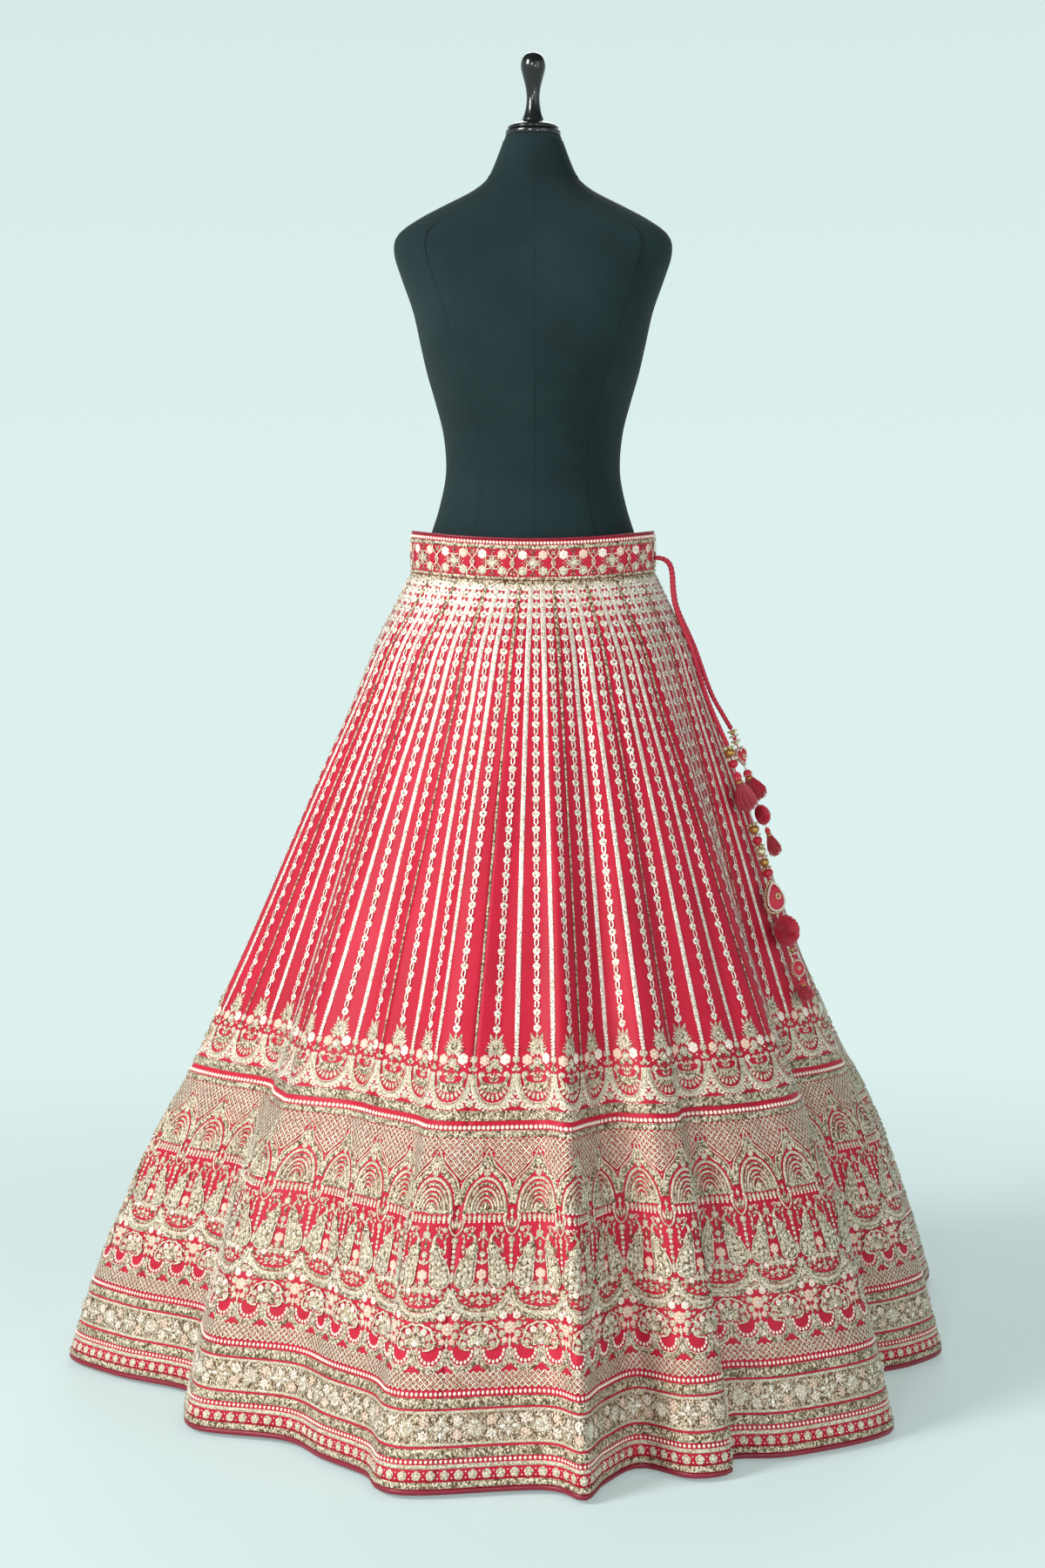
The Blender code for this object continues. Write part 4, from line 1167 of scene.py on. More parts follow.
def dome():
    """One dome: ribs of couched wire one inside the other, a sill, its fringe and a sprig."""
    ribs = [band(arc(DOME_FOOT, radius, 0, 180, 12, DOME_TALL), width, finish, lift)
            for radius, width, finish, lift in (
                (20.8, 3.2, PALE, 1.7), (17.3, 3.0, ZARI, 1.5), (14.1, 2.7, PALE, 1.7),
                (11.1, 2.6, ZARI, 1.5), (8.2, 2.3, PALE, 1.7))]
    studs = [beaded(arc(DOME_FOOT, radius, 3, 177, 16, DOME_TALL), apart,
                    bead(0.95, SEQUIN, 2.3, 4))
             for radius, apart in ((20.8, 3.4), (17.3, 3.2), (14.1, 3.2), (11.1, 3.2))]
    drop = together(placed(petal(7.4, 4.4, PALE, 1.5), 0.0, 0.0, 180),
                    beads((1.4, PEARL, 1.9, 5, 0.0, -7.6)))
    sprig = together(flower(6, 3.9, PALE, 1.8), leaves((9.6, 3.8, PALE, 1.5, 0.0, 2.4)),
                     both_sides(leaves((6.4, 3.0, PALE, 1.3, 2.0, 1.6, -58))))
    return together(
        *ribs, *studs, padded_shape(arc(DOME_FOOT, 6.0, 0, 180, 8, 1.6), ZARI, 1.6),
        placed(bead(2.4, SEQUIN, 2.6, 6, 1.4), 0.0, DOME_FOOT + 4.4),
        band(((-23.0, 286.2), (0.0, 286.2), (23.0, 286.2)), 4.4, ZARI, 2.1),
        beaded(((-22.0, 286.2), (22.0, 286.2)), 4.0, bead(1.3, SEQUIN, 2.9, 5)),
        beaded(((-22.6, 283.6), (22.6, 283.6)), 5.1, drop), placed(sprig, 0.0, 324.4))


def hanging_lamp():
    """The little lamp between two domes, with a drop of beads below it."""
    cup = through(((-6.4, 281.0), (-6.8, 273.0), (-4.2, 266.0), (0.0, 262.4), (4.2, 266.0),
                   (6.8, 273.0), (6.4, 281.0)), 2)
    chain = [placed(bead(radius, finish, 1.8, 6, 1.2), 0.0, y) for y, radius, finish in (
        (252.0, 2.2, PALE), (247.0, 1.7, SEQUIN), (241.4, 2.2, PALE),
        (236.4, 1.7, SEQUIN), (231.0, 2.2, PALE))]
    return placed(together(
        band(cup, 1.9, PALE, 1.4), placed(petal(15.0, 4.4, ZARI, 1.6), 0.0, 267.0),
        both_sides(leaves((11.0, 3.0, PALE, 1.4, 2.4, 268.4, -12)),
                   beads((1.6, PEARL, 1.9, 5, 6.4, 282.8))),
        leaves((8.0, 4.2, PALE, 1.5, 0.0, 281.6)), flowers((6, 3.5, PALE, 1.5, 0.0, 257.6)),
        *chain, placed(petal(14.0, 3.8, PALE, 1.5), 0.0, 228.0, 180)), x=DOME_WIDTH / 2)


def over_arch(x):
    """Height of the ground's lower edge over the arches, at any x of the repeat."""
    arch = through(OUTER_OGEE, 4)
    off = -abs((x + DOME_WIDTH / 2) % DOME_WIDTH - DOME_WIDTH / 2)
    return float(np.interp(off, arch[:, 0], arch[:, 1])) + 2.6


embroider("domed_arches", wrapped(together(
    both_sides(band(through(OUTER_OGEE, 2), 1.8, PALE, 1.0)),
    both_sides(band(through(INNER_OGEE, 2), 6.0, ZARI, 1.6)),
    both_sides(beaded(through(INNER_OGEE, 2), 3.4, bead(1.5, SEQUIN, 2.5, 5))), dome(),
    hanging_lamp(), lattice(DOME_WIDTH, over_arch, LATTICE_TOP, 8, 3.4, 18)), DOME_WIDTH))


# ---- embroidery: peacocks and garland ----
# A pair of peacocks under each dome, tails down, either side of a spray of flowers. A
# garland of three couched lines swings below them from drop to drop.
PEACOCK_WIDTH = 61.5
GARLAND_WIDTH = 64.5


def peacock():
    """The right-hand bird: a long tail full of eyes, wing, breast, neck, head and crest."""
    tail = through(((6.8, 243.4), (13.8, 244.2), (20.8, 239.0), (26.0, 229.6), (28.2, 219.6),
                    (25.8, 212.2), (18.6, 209.8), (11.4, 211.6), (8.2, 218.0), (7.8, 227.0),
                    (6.8, 235.6)), 2, closed=True)
    eyes = [placed(together(bead(2.5, PALE, 1.1, 6, 1.15),
                            placed(bead(1.3, SEQUIN, 1.3, 5), lift=0.8)), x, y, lift=1.5)
            for x, y in ((12.6, 215.6), (18.2, 213.8), (23.8, 216.8), (11.6, 222.0), (17.4, 220.6),
                         (23.4, 223.4), (11.4, 228.8), (17.0, 227.8), (22.2, 230.0), (11.0, 235.4),
                         (16.4, 235.0))]
    plumes = [placed(leaf(5.6, 2.8, PALE, 1.7), x, y, turn, lift=0.9)
              for x, y, turn in ((9.6, 243.6, 176), (12.6, 243.2, 186), (15.6, 241.6, 200))]
    breast = padded_shape(through(((4.6, 245.6), (9.0, 243.0), (14.0, 245.2), (15.4, 250.4),
                                   (12.4, 255.4), (8.6, 257.0), (5.2, 252.4)), 2, closed=True),
                          ZARI, 2.4)
    scales = [placed(bead(1.2, SEQUIN, 1.2, 4), x, y, lift=1.9)
              for x, y in ((8.0, 248.0), (11.4, 247.4), (9.6, 251.4), (12.6, 251.0))]
    wing = together(*(placed(leaf(11.0 - 1.6 * n, 3.6, PALE, 1.4), 14.0 - n, 252.4 - 1.8 * n,
                             -158 - 12 * n, lift=1.4) for n in range(3)))
    neck = band(through(((9.4, 254.4), (8.6, 258.2), (9.8, 261.6), (12.2, 263.4)), 2),
                (4.4, 4.0, 3.6, 3.2, 3.0, 2.8, 2.8), PALE, 2.1)
    head = together(beads((2.5, ZARI, 2.4, 6, 12.6, 263.6)),
                    placed(leaf(4.6, 1.7, PALE, 1.2), 14.0, 263.2, -82, lift=0.7))
    sprig = together(
        leaves(*((size, 3.4, finish, 1.4, x, y, turn) for size, finish, x, y, turn in (
            (7.6, ZARI, 19.4, 242.6, -20), (6.6, PALE, 22.0, 248.4, 14),
            (5.6, ZARI, 20.6, 246.6, 50), (6.4, PALE, 20.0, 253.6, -8),
            (5.6, ZARI, 17.6, 258.6, 38), (6.0, PALE, 20.4, 259.6, -30)))),
        flowers((5, 3.0, PALE, 1.6, 19.2, 268.2)), beads((1.4, PEARL, 1.6, 5, 23.4, 238.8)))
    crest = together(*(together(tape(((12.4, 265.6), (12.4 + x, 265.6 + y)), 0.7, PALE, 0.8),
                                beads((1.05, PEARL, 1.4, 5, 12.4 + x, 265.6 + y)))
                       for x, y in ((-2.6, 4.0), (0.4, 5.2), (3.2, 4.4))))
    return together(padded_shape(tail, ZARI, 1.5),
                    tape(np.vstack([tail, tail[:1]]), 1.4, PALE, 1.0), *eyes, *plumes, breast,
                    *scales, wing, neck, head, crest, sprig)


def flower_spray():
    """The spray between the birds, and the sprigs at its foot that run into the garland."""
    middle = together(
        placed(petal(8.0, 3.6, PALE, 1.5), 0.0, 232.6),
        flowers((6, 5.6, PEACH, 1.9, 0.0, 223.4), (5, 3.6, PALE, 1.7, 0.0, 215.4),
                (5, 3.4, PALE, 1.5, 0.0, 243.6), (6, 4.3, PALE, 1.7, 0.0, 263.4),
                (6, 4.2, PALE, 1.8, 0.0, 208.6)),
        leaves((7.0, 3.2, PALE, 1.4, 0.0, 267.0), (11.0, 3.2, ZARI, 1.4, 0.0, 258.8, 180),
               (10.0, 4.0, PALE, 1.5, 0.0, 205.4, 180)),
        beads((1.5, PEARL, 1.7, 5, 0.0, 193.8)))
    sides = both_sides(
        flowers((5, 3.8, PALE, 1.6, 7.0, 209.0), (5, 3.4, PEARL, 1.6, 13.6, 206.8),
                (5, 3.0, PALE, 1.6, 19.6, 206.2), (5, 2.9, PALE, 1.5, 8.2, 198.4)),
        leaves((7.0, 3.2, PALE, 1.4, 1.0, 233.6, -46), (6.4, 3.0, PALE, 1.3, 1.6, 260.4, -128),
               (6.6, 3.0, ZARI, 1.4, 0.8, 202.0, -134), (5.4, 2.6, PALE, 1.3, 0.6, 197.6, -140)),
        leaves(*((6.6, 3.0, ZARI, 1.3, x, y, turn) for x, y, turn in (
            (3.0, 206.4, -124), (9.8, 204.4, -112), (16.4, 203.8, -104), (21.6, 205.0, -82),
            (3.0, 212.0, -58)))),
        leaves(*((5.8, 2.8, finish, 1.3, x, y, turn) for finish, x, y, turn in (
            (ZARI, 11.6, 199.6, -64), (PALE, 11.8, 196.6, -104),
            (PALE, 18.2, 199.4, -74), (ZARI, 5.6, 194.4, -96)))))
    return together(middle, sides)


def garland():
    """Three lines of couching with their sequins and beads, hung from cusp to cusp."""
    outer = scallop(GARLAND_WIDTH, 206.0, 178.6)
    middle = scallop(GARLAND_WIDTH, 208.6, 183.2, reach=0.97)
    inner = scallop(GARLAND_WIDTH, 210.4, 188.0, reach=0.92)
    return together(band(outer, 5.0, ZARI, 1.5), band(middle, 4.6, PALE, 1.3),
                    band(inner, 3.6, ZARI, 1.5),
                    beaded(middle, 3.2, bead(1.6, SEQUIN, 2.2, 5)),
                    beaded(outer, 3.2, bead(1.4, SEQUIN, 2.4, 4)),
                    beaded(inner, 4.2, bead(1.1, PALE, 2.2, 4)))


embroider("peacock_border",
          wrapped(together(peacock(), mirrored(peacock()), flower_spray()), PEACOCK_WIDTH),
          wrapped(garland(), GARLAND_WIDTH))


# ---- embroidery: lotus border ----
# Lotus palmettes under the garland take turns with peach posies. Two small scallops to a
# repeat, edged with pearl drops and tied with scrolls, carry them over a netted ground.
LOTUS_WIDTH = 67.0
LOWER_CUSP = 147.0
LOWER_FOOT = 128.4


def lotus():
    """A palmette: two fans of petals about a sequinned eye, with florets and an outline."""
    petals = together(*(placed(petal(14.2 - abs(turn) * 0.016, 6.4, ZARI, 2.2), 0.0, 154.6, turn)
                        for turn in (-100, -75, -50, -25, 0, 25, 50, 75, 100)))
    tips = together(*(placed(petal(9.4, 4.0, PALE, 3.0), 0.0, 154.6, turn)
                      for turn in (-88, -62, -37, -12, 12, 37, 62, 88)))
    florets = together(flowers((5, 3.9, PALE, 1.9, 0.0, 169.2)),
                       both_sides(flowers((5, 3.6, PEARL, 1.8, 8.5, 167.0),
                                          (5, 3.6, PALE, 1.8, 14.2, 161.4),
                                          (5, 3.6, PALE, 1.8, 15.4, 153.8))))
    rim = beaded(arc(154.8, 13.4, -12, 192, 16), 5.2, bead(1.3, SEQUIN, 2.8, 5))
    edge = both_sides(tape(through(((0.0, 173.0), (4.6, 174.4), (9.0, 171.8), (13.6, 170.6),
                                    (17.0, 166.4), (17.6, 161.8), (20.4, 157.4), (19.4, 151.4),
                                    (14.6, 149.0), (9.0, 148.4)), 2), 2.2, PALE, 1.4))
    foot = together(beads((3.4, SEQUIN, 3.9, 8, 0.0, 154.8)),
                    both_sides(curl(5.4, 147.6, 4.0, 120, 330, 2.4)),
                    leaves((9.0, 4.0, PALE, 1.5, 0.0, 150.6, 180)))
    return together(petals, tips, florets, rim, edge, foot)


def posy():
    """The posy between two palmettes, drawn in the middle of its repeat."""
    middle = together(
        flowers((8, 6.8, PEACH, 1.9, 0.0, 169.4), (6, 4.4, PALE, 1.9, 0.0, 186.6),
                (5, 3.8, PEARL, 1.7, 0.0, 195.6)),
        placed(rosette(4, 4.6, 3.2, PALE, 2.4, 45), 0.0, 169.4),
        leaves((13.0, 4.2, PALE, 1.5, 0.0, 162.0, 180)))
    sides = both_sides(
        flowers((6, 4.6, PEARL, 1.8, 7.6, 182.0), (5, 4.1, PALE, 1.7, 9.2, 172.6),
                (5, 3.9, PALE, 1.7, 8.2, 163.2), (5, 3.4, PEACH, 1.6, 5.4, 157.0)),
        leaves((6.6, 3.2, ZARI, 1.3, 4.0, 191.0, -44), (6.4, 3.0, ZARI, 1.3, 11.4, 177.2, -80),
               (6.4, 3.0, ZARI, 1.3, 11.2, 167.6, -96), (6.4, 3.0, ZARI, 1.3, 9.4, 158.4, -118)),
        leaves(*((size, 3.6, finish, 1.3, x, y, turn) for size, finish, x, y, turn in (
            (6.6, PALE, 3.6, 178.6, -60), (6.4, ZARI, 13.0, 181.0, -30),
            (5.6, PALE, 14.0, 172.0, -60), (5.8, PALE, 12.4, 163.8, -70),
            (6.0, ZARI, 4.6, 152.4, -76), (5.6, ZARI, 10.8, 153.0, -24),
            (6.0, PALE, 3.4, 146.0, 150), (6.4, PALE, 9.0, 188.4, -70)))),
        curl(4.4, 147.4, 4.0, 140, 310, 2.4))
    return together(middle, sides)


def lower_scallop():
    """A small scallop edged with sequins and pearl drops, and the flower at its cusp."""
    width = LOTUS_WIDTH / 2
    line = scallop(width, LOWER_CUSP, LOWER_FOOT, 12, 0.96)
    inner = scallop(width, LOWER_CUSP + 1.0, LOWER_FOOT + 3.6, 10, 0.82)
    drops = scallop(width, LOWER_CUSP + 2.0, LOWER_FOOT + 7.4, 12, 0.66)
    corner = together(flower(5, 3.4, PALE, 1.5), leaves((5.4, 2.8, PALE, 1.3, 0.0, -2.6, 180)))
    return together(band(line, 5.0, ZARI, 1.6), tape(inner, 1.1, PALE, 1.0),
                    beaded(line, 3.0, bead(1.3, SEQUIN, 2.4, 4)),
                    beaded(drops, 4.2, bead(1.55, PEARL, 1.9, 6, 1.4)),
                    placed(corner, width / 2, LOWER_CUSP - 7.0))


NET_TURN = 250.0            # the netting is worked upside down, at this height less its own
NET_FOOT = 109.6


def over_ground(x):
    """Where the netting meets the small scallops, upside down."""
    width = LOTUS_WIDTH / 2
    line = scallop(width, LOWER_CUSP, LOWER_FOOT, 12)
    off = (x + width / 2) % width - width / 2
    height = float(np.interp(off, line[:, 0], line[:, 1])) - 3.4
    return NET_TURN - min(height, LOWER_CUSP - 7.4)


def netting():
    """The netted ground below the small scallops, down to the pearls of the hem border."""
    points, faces, finishes = lattice(LOTUS_WIDTH, over_ground, NET_TURN - NET_FOOT, 10, 3.4, 12)
    return points * (1.0, -1.0, 1.0) + (0.0, NET_TURN, 0.0), faces[:, ::-1], finishes


embroider("lotus_border", wrapped(together(
    lotus(), placed(posy(), x=LOTUS_WIDTH / 2), placed(lower_scallop(), x=LOTUS_WIDTH / 4),
    placed(lower_scallop(), x=-LOTUS_WIDTH / 4), netting()), LOTUS_WIDTH))


# ---- embroidery: hem borders ----
# Firm gold bands and rows of pearls frame a band of diamonds and flowers, and a last row
# of single flowers runs round the hem above its gold edge.
HEM_WIDTH = 73.5
JEWEL_HEIGHT = 71.2


def jewelled_band():
    """Large gold flowers in turn with diamonds, and small flowers in every corner."""
    star = together(rosette(8, 12.0, 5.6, PALE, 2.2), rosette(8, 9.6, 4.6, SEQUIN, 2.8, 22.5),
                    placed(flower(6, 4.4, PALE, 2.2), lift=1.2))
    diamond = together(rosette(4, 13.0, 6.6, SEQUIN, 2.2), rosette(4, 9.4, 6.0, PALE, 2.4, 45),
                       rosette(8, 6.0, 3.0, ZARI, 3.0, 22.5), bead(2.4, SEQUIN, 3.8, 7))
    quarter = HEM_WIDTH / 4
    corners = together(*(flowers((6, 5.9, high, 1.9, way * quarter, 7.0),
                                 (6, 5.9, low, 1.9, way * quarter, -7.0))
                         for way, high, low in ((-1, PEARL, PEACH), (1, PEACH, PEARL))))
    sides = both_sides(
        flowers((5, 3.0, PALE, 1.6, quarter - 7.2, 0.0), (5, 3.0, PALE, 1.6, quarter + 7.2, 0.0)),
        leaves(*((6.0, 3.2, ZARI, 1.4, x, y, turn) for x, y, turn in (
            (8.0, 8.2, -36), (8.0, -8.2, -144), (29.0, 8.2, 36), (29.0, -8.2, 144),
            (8.6, 11.2, -74), (8.6, -11.2, -106), (28.4, 11.2, 74), (28.4, -11.2, 106)))))
    ground = lattice(HEM_WIDTH, lambda x: 57.0, 85.6, 13, 2.9, 10, 2.0, ZARI)
    jewels = together(star, placed(diamond, x=HEM_WIDTH / 2), corners, sides)
    return together(ground, placed(jewels, y=JEWEL_HEIGHT))


def hem_rows():
    """The gold bands and rows of pearls, and the last row of single flowers."""
    bloom = together(flower(5, 5.2, PALE, 1.9),
                     both_sides(beads((0.9, PEARL, 1.1, 4, 7.3, 3.0),
                                      (0.9, PEARL, 1.1, 4, 7.3, -3.0))))
    bands = (level(HEM_WIDTH, low, high, finish, lift) for low, high, finish, lift in (
        (91.0, 101.4, ZARI, 1.5), (85.4, 88.8, PALE, 1.0), (53.8, 57.2, PALE, 1.0),
        (41.4, 51.4, ZARI, 1.5), (31.2, 35.6, PALE, 1.2), (11.8, 18.4, ZARI, 1.3)))
    studs = bead_rows(
        HEM_WIDTH, (98.4, 20, 0.5, 1.4, SEQUIN, 2.2, 4), (94.0, 20, 1.0, 1.4, PALE, 2.2, 4),
        (87.1, 16, 0.5, 1.2, SEQUIN, 1.6, 4), (55.5, 16, 0.5, 1.2, SEQUIN, 1.6, 4),
        (48.6, 20, 0.5, 1.4, SEQUIN, 2.2, 4), (44.2, 20, 1.0, 1.4, PALE, 2.2, 4),
        (33.4, 16, 0.5, 1.3, SEQUIN, 1.9, 4), (15.0, 18, 0.5, 1.5, SEQUIN, 2.1, 4),
        (105.4, 14, 0.5, 1.8, PEARL, 2.1, 6, 1.25), (38.4, 14, 0.5, 1.7, PEARL, 2.0, 6, 1.15))
    return together(*bands, studs, row(HEM_WIDTH, 24.8, 5, bloom))


embroider("hem_borders", wrapped(together(jewelled_band(), hem_rows()), HEM_WIDTH))


# ---- embroidery: waistband ----
# The band carries two rows of round flowers with eight-petalled stars between them, under
# a gold line and a row of pearls, and over a gold line that covers its lower seam.
WAISTBAND_WIDTH = 49.1
BAND_REPEATS = 16


def loop(length, width, thick, finish, lift):
    """A petal drawn in outline with one line of cord."""
    side = ((0.5 * width, 0.45 * length), (0.36 * width, 0.82 * length))
    path = ((0.0, 0.0), *side, (0.0, length), *((-x, y) for x, y in reversed(side)), (0.0, 0.0))
    return tape(path, thick, finish, lift)


def on_band(around, height):
    """Points of the band, height mm above its lower edge, and the way that they face."""
    rise = height / 1000
    swell = BAND_PROUD + BAND_CROWN * np.sin(math.pi * np.clip(rise / BAND_HEIGHT, 0.0, 1.0))
    return band_point(around, rise, swell), waist_out(around)


def band_flowers():
    """One repeat of the band: four flowers, a star, a crossing and the lines that edge it."""
    quarter, low, high, middle = WAISTBAND_WIDTH / 4, 11.4, 30.8, 21.1
    blooms = flowers((6, 5.9, PEARL, 1.6, -quarter, high), (6, 5.9, PALE, 1.6, -quarter, low),
                     (6, 5.9, PEACH, 1.6, quarter, high), (6, 5.9, PALE, 1.6, quarter, low))
    star = together(*(placed(loop(10.6, 7.0, 1.2, PALE, 1.0), turn=turn)
                      for turn in (45, 135, 225, 315)),
                    *(placed(loop(8.6, 4.8, 1.1, PALE, 1.0), turn=turn)
                      for turn in (0, 90, 180, 270)),
                    rosette(4, 7.4, 3.4, ZARI, 1.3, 45), bead(2.2, SEQUIN, 2.0, 6))
    bend = through(((-7.4, 37.4), (-5.0, 30.6), (0.0, 25.4), (2.2, 21.1), (0.0, 16.8),
                    (-5.0, 11.6), (-7.4, 4.8)), 2)
    crossing = together(
        both_sides(tape(bend, 1.4, PALE, 1.0)), beads((1.3, SEQUIN, 1.7, 6, 0.0, middle)),
        *(placed(rosette(4, 4.4, 2.6, ZARI, 1.2, 45), 0.0, y) for y in (33.0, 9.2)))
    sprigs = both_sides(*(placed(rosette(3, 4.6, 2.4, ZARI, 1.2, turn), 0.0, y)
                          for y, turn in ((33.6, 180), (8.6, 0))))
    dots = both_sides(*(beads((1.0, PALE, 1.2, 4, quarter + x, middle + y))
                        for x, y in ((0.0, 0.0), (-2.6, 2.4), (-2.6, -2.4))))
    lines = together(level(WAISTBAND_WIDTH, 0.8, 4.6, ZARI, 1.0, 9),
                     bead_rows(WAISTBAND_WIDTH, (2.7, 15, 0.5, 1.1, SEQUIN, 1.7, 4)),
                     level(WAISTBAND_WIDTH, 37.6, 42.6, ZARI, 1.0, 9),
                     bead_rows(WAISTBAND_WIDTH, (40.1, 15, 0.5, 1.5, SEQUIN, 1.8, 4),
                               (45.2, 12, 0.5, 1.7, PEARL, 1.8, 6, 1.2)))
    return together(blooms, placed(star, 0.0, middle), placed(crossing, WAISTBAND_WIDTH / 2),
                    sprigs, dots, lines)


embroider("waistband_flowers",
          wrapped(band_flowers(), WAISTBAND_WIDTH, BAND_REPEATS, on_band))


# ---- dori ----
# Two drawcords of the skirt's own silk, each of two strands twisted together. They leave
# the band at its right side, drop to the cloth and lie down it to the beaded strands.
CORD_DIAMETER = 0.006
CORD_TWIST = 0.011          # length of one full turn of the two strands
CORD_GROOVE = 0.20          # depth of the groove between them, as a share of the radius
CORD_SIDES = 12
CORD_ROUTES = {
    "dori_upper": (
        (0.1499, -0.0060, 1.0000), (0.1552, -0.0060, 0.9998), (0.1605, -0.0060, 0.9985),
        (0.1655, -0.0060, 0.9955), (0.1690, -0.0060, 0.9905), (0.1710, -0.0060, 0.9840),
        (0.1720, -0.0060, 0.9760), (0.1727, -0.0062, 0.9660), (0.1738, -0.0065, 0.9550),
        (0.1762, -0.0070, 0.9420), (0.1815, -0.0075, 0.9280), (0.1900, -0.0080, 0.9100),
        (0.1988, -0.0085, 0.8900), (0.2060, -0.0090, 0.8700), (0.2130, -0.0095, 0.8500),
        (0.2210, -0.0105, 0.8300), (0.2310, -0.0118, 0.8120), (0.2440, -0.0130, 0.7900),
    ),
    "dori_lower": (
        (0.1493, -0.0135, 1.0000), (0.1545, -0.0138, 0.9998), (0.1595, -0.0142, 0.9985),
        (0.1640, -0.0147, 0.9955), (0.1675, -0.0153, 0.9905), (0.1694, -0.0160, 0.9840),
        (0.1702, -0.0168, 0.9760), (0.1706, -0.0180, 0.9660), (0.1714, -0.0195, 0.9550),
        (0.1738, -0.0212, 0.9420), (0.1785, -0.0235, 0.9280), (0.1858, -0.0265, 0.9100),
        (0.1937, -0.0295, 0.8900), (0.1998, -0.0325, 0.8700), (0.2056, -0.0360, 0.8500),
        (0.2120, -0.0400, 0.8300), (0.2198, -0.0445, 0.8100), (0.2290, -0.0490, 0.7890),
        (0.2370, -0.0520, 0.7716),
    ),
}


def path_axes(path):
    """Two axes across a path at each of its points, carried along without spinning."""
    ways = np.gradient(path, axis=0)
    ways /= np.linalg.norm(ways, axis=1, keepdims=True)
    side = np.cross(ways[0], (0.31, 0.87, 0.38))
    axes = []
    for way in ways:
        side = side - way * side.dot(way)
        side /= np.linalg.norm(side)
        axes.append((side, np.cross(way, side)))
    return np.array(axes)


def capped(count, sides):
    """Faces of a tube of rings, closed by the two points that follow its last ring."""
    here, foot, end = np.arange(sides), np.full(sides, count * sides), (count - 1) * sides
    after = (here + 1) % sides
    return np.concatenate([halved(*grid_cells(count, sides, ring=True)),
                           np.stack([after, here, foot], axis=1),
                           np.stack([end + here, end + after, foot + 1], axis=1)])


def tube(path, radius, sides, finish=0):
    """A tube along a path, closed at both ends; radius may vary by ring and by side."""
    path = np.array(path, float)
    count = len(path)
    axes = path_axes(path)
    radius = np.asarray(radius, float)
    radius = radius[:, None] if radius.ndim == 1 else radius
    radius = np.broadcast_to(radius, (count, sides))
    turn = np.linspace(0.0, 2 * math.pi, sides, endpoint=False)
    rings = path[:, None] + (radius * np.cos(turn))[..., None] * axes[:, None, 0] \
        + (radius * np.sin(turn))[..., None] * axes[:, None, 1]
    points = np.concatenate([rings.reshape(-1, 3), path[:1], path[-1:]])
    faces = capped(count, sides)
    return points, faces, np.full(len(faces), finish)


def cord_silk():
    """The skirt's silk again, cut on the bias so its weave runs round the strands."""
    return woven_finish("crimson cord silk", dye(176, 16, 44), dye(206, 28, 60),
                        70.0, 700.0, 0.42, 0.0003)


def make_cord(name, route):
    """The cord's line and length, and its piece."""
    line = through(route, 14)
    run = np.concatenate([[0.0], np.cumsum(np.linalg.norm(np.diff(line, axis=0), axis=1))])
    turn = np.linspace(0.0, 2 * math.pi, CORD_SIDES, endpoint=False)[None, :]
    strands = np.abs(np.cos(turn - 2 * math.pi * run[:, None] / CORD_TWIST))
    radius = CORD_DIAMETER / 2 * (1.0 - CORD_GROOVE + CORD_GROOVE * strands)
    points, faces, _ = tube(line, radius, CORD_SIDES)
    piece = add_piece(f"{name}_cord", points, faces, (cord_silk(),))
    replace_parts(piece, name)
    return line, float(run[-1]), piece


CORDS = {name: make_cord(name, route) for name, route in CORD_ROUTES.items()}


# ---- strands ----
# Each cord ends in a strand: gold and crimson beads, satin pendants edged in pale beads,
# tassels of silk yarn under bound heads, and trimmed pompoms, all threaded in one line.
STRAND_ENDS = {
    # cord: end of the strand, way it faces
    "dori_upper": ((0.3030, -0.0110, 0.6255), (0.92, -0.22, 0.33)),
    "dori_lower": ((0.3420, -0.0650, 0.4397), (0.79, -0.54, 0.28)),
}
STRAND_PRESS = 0.62         # depth of yarn pressed on the cloth, as a share of its width
YARN_STANDS_OUT = 0.80      # and of yarn that stands out free of it
STRAND_GAP = 0.3            # between neighbours on the thread, in mm
PENDANT_TURN = 22.0         # degrees that the pendants turn forward on their thread
PENDANT_ROWS = (
    # from one face to the other: share of the outline, share of the thickness
    (0.20, 0.50), (0.52, 0.46), (0.74, 0.34), (0.84, 0.0), (0.74, -0.34), (0.52, -0.46),
    (0.20, -0.50),
)
TASSEL_HEAD = 0.30          # share of a tassel above its binding
GOLDEN_TURN = 2.39996       # from one strand of yarn to the next, which spreads them evenly
YARN, GOLD, BRIGHT, CRYSTAL, SATIN = range(5)
dice = np.random.default_rng(seed=20)
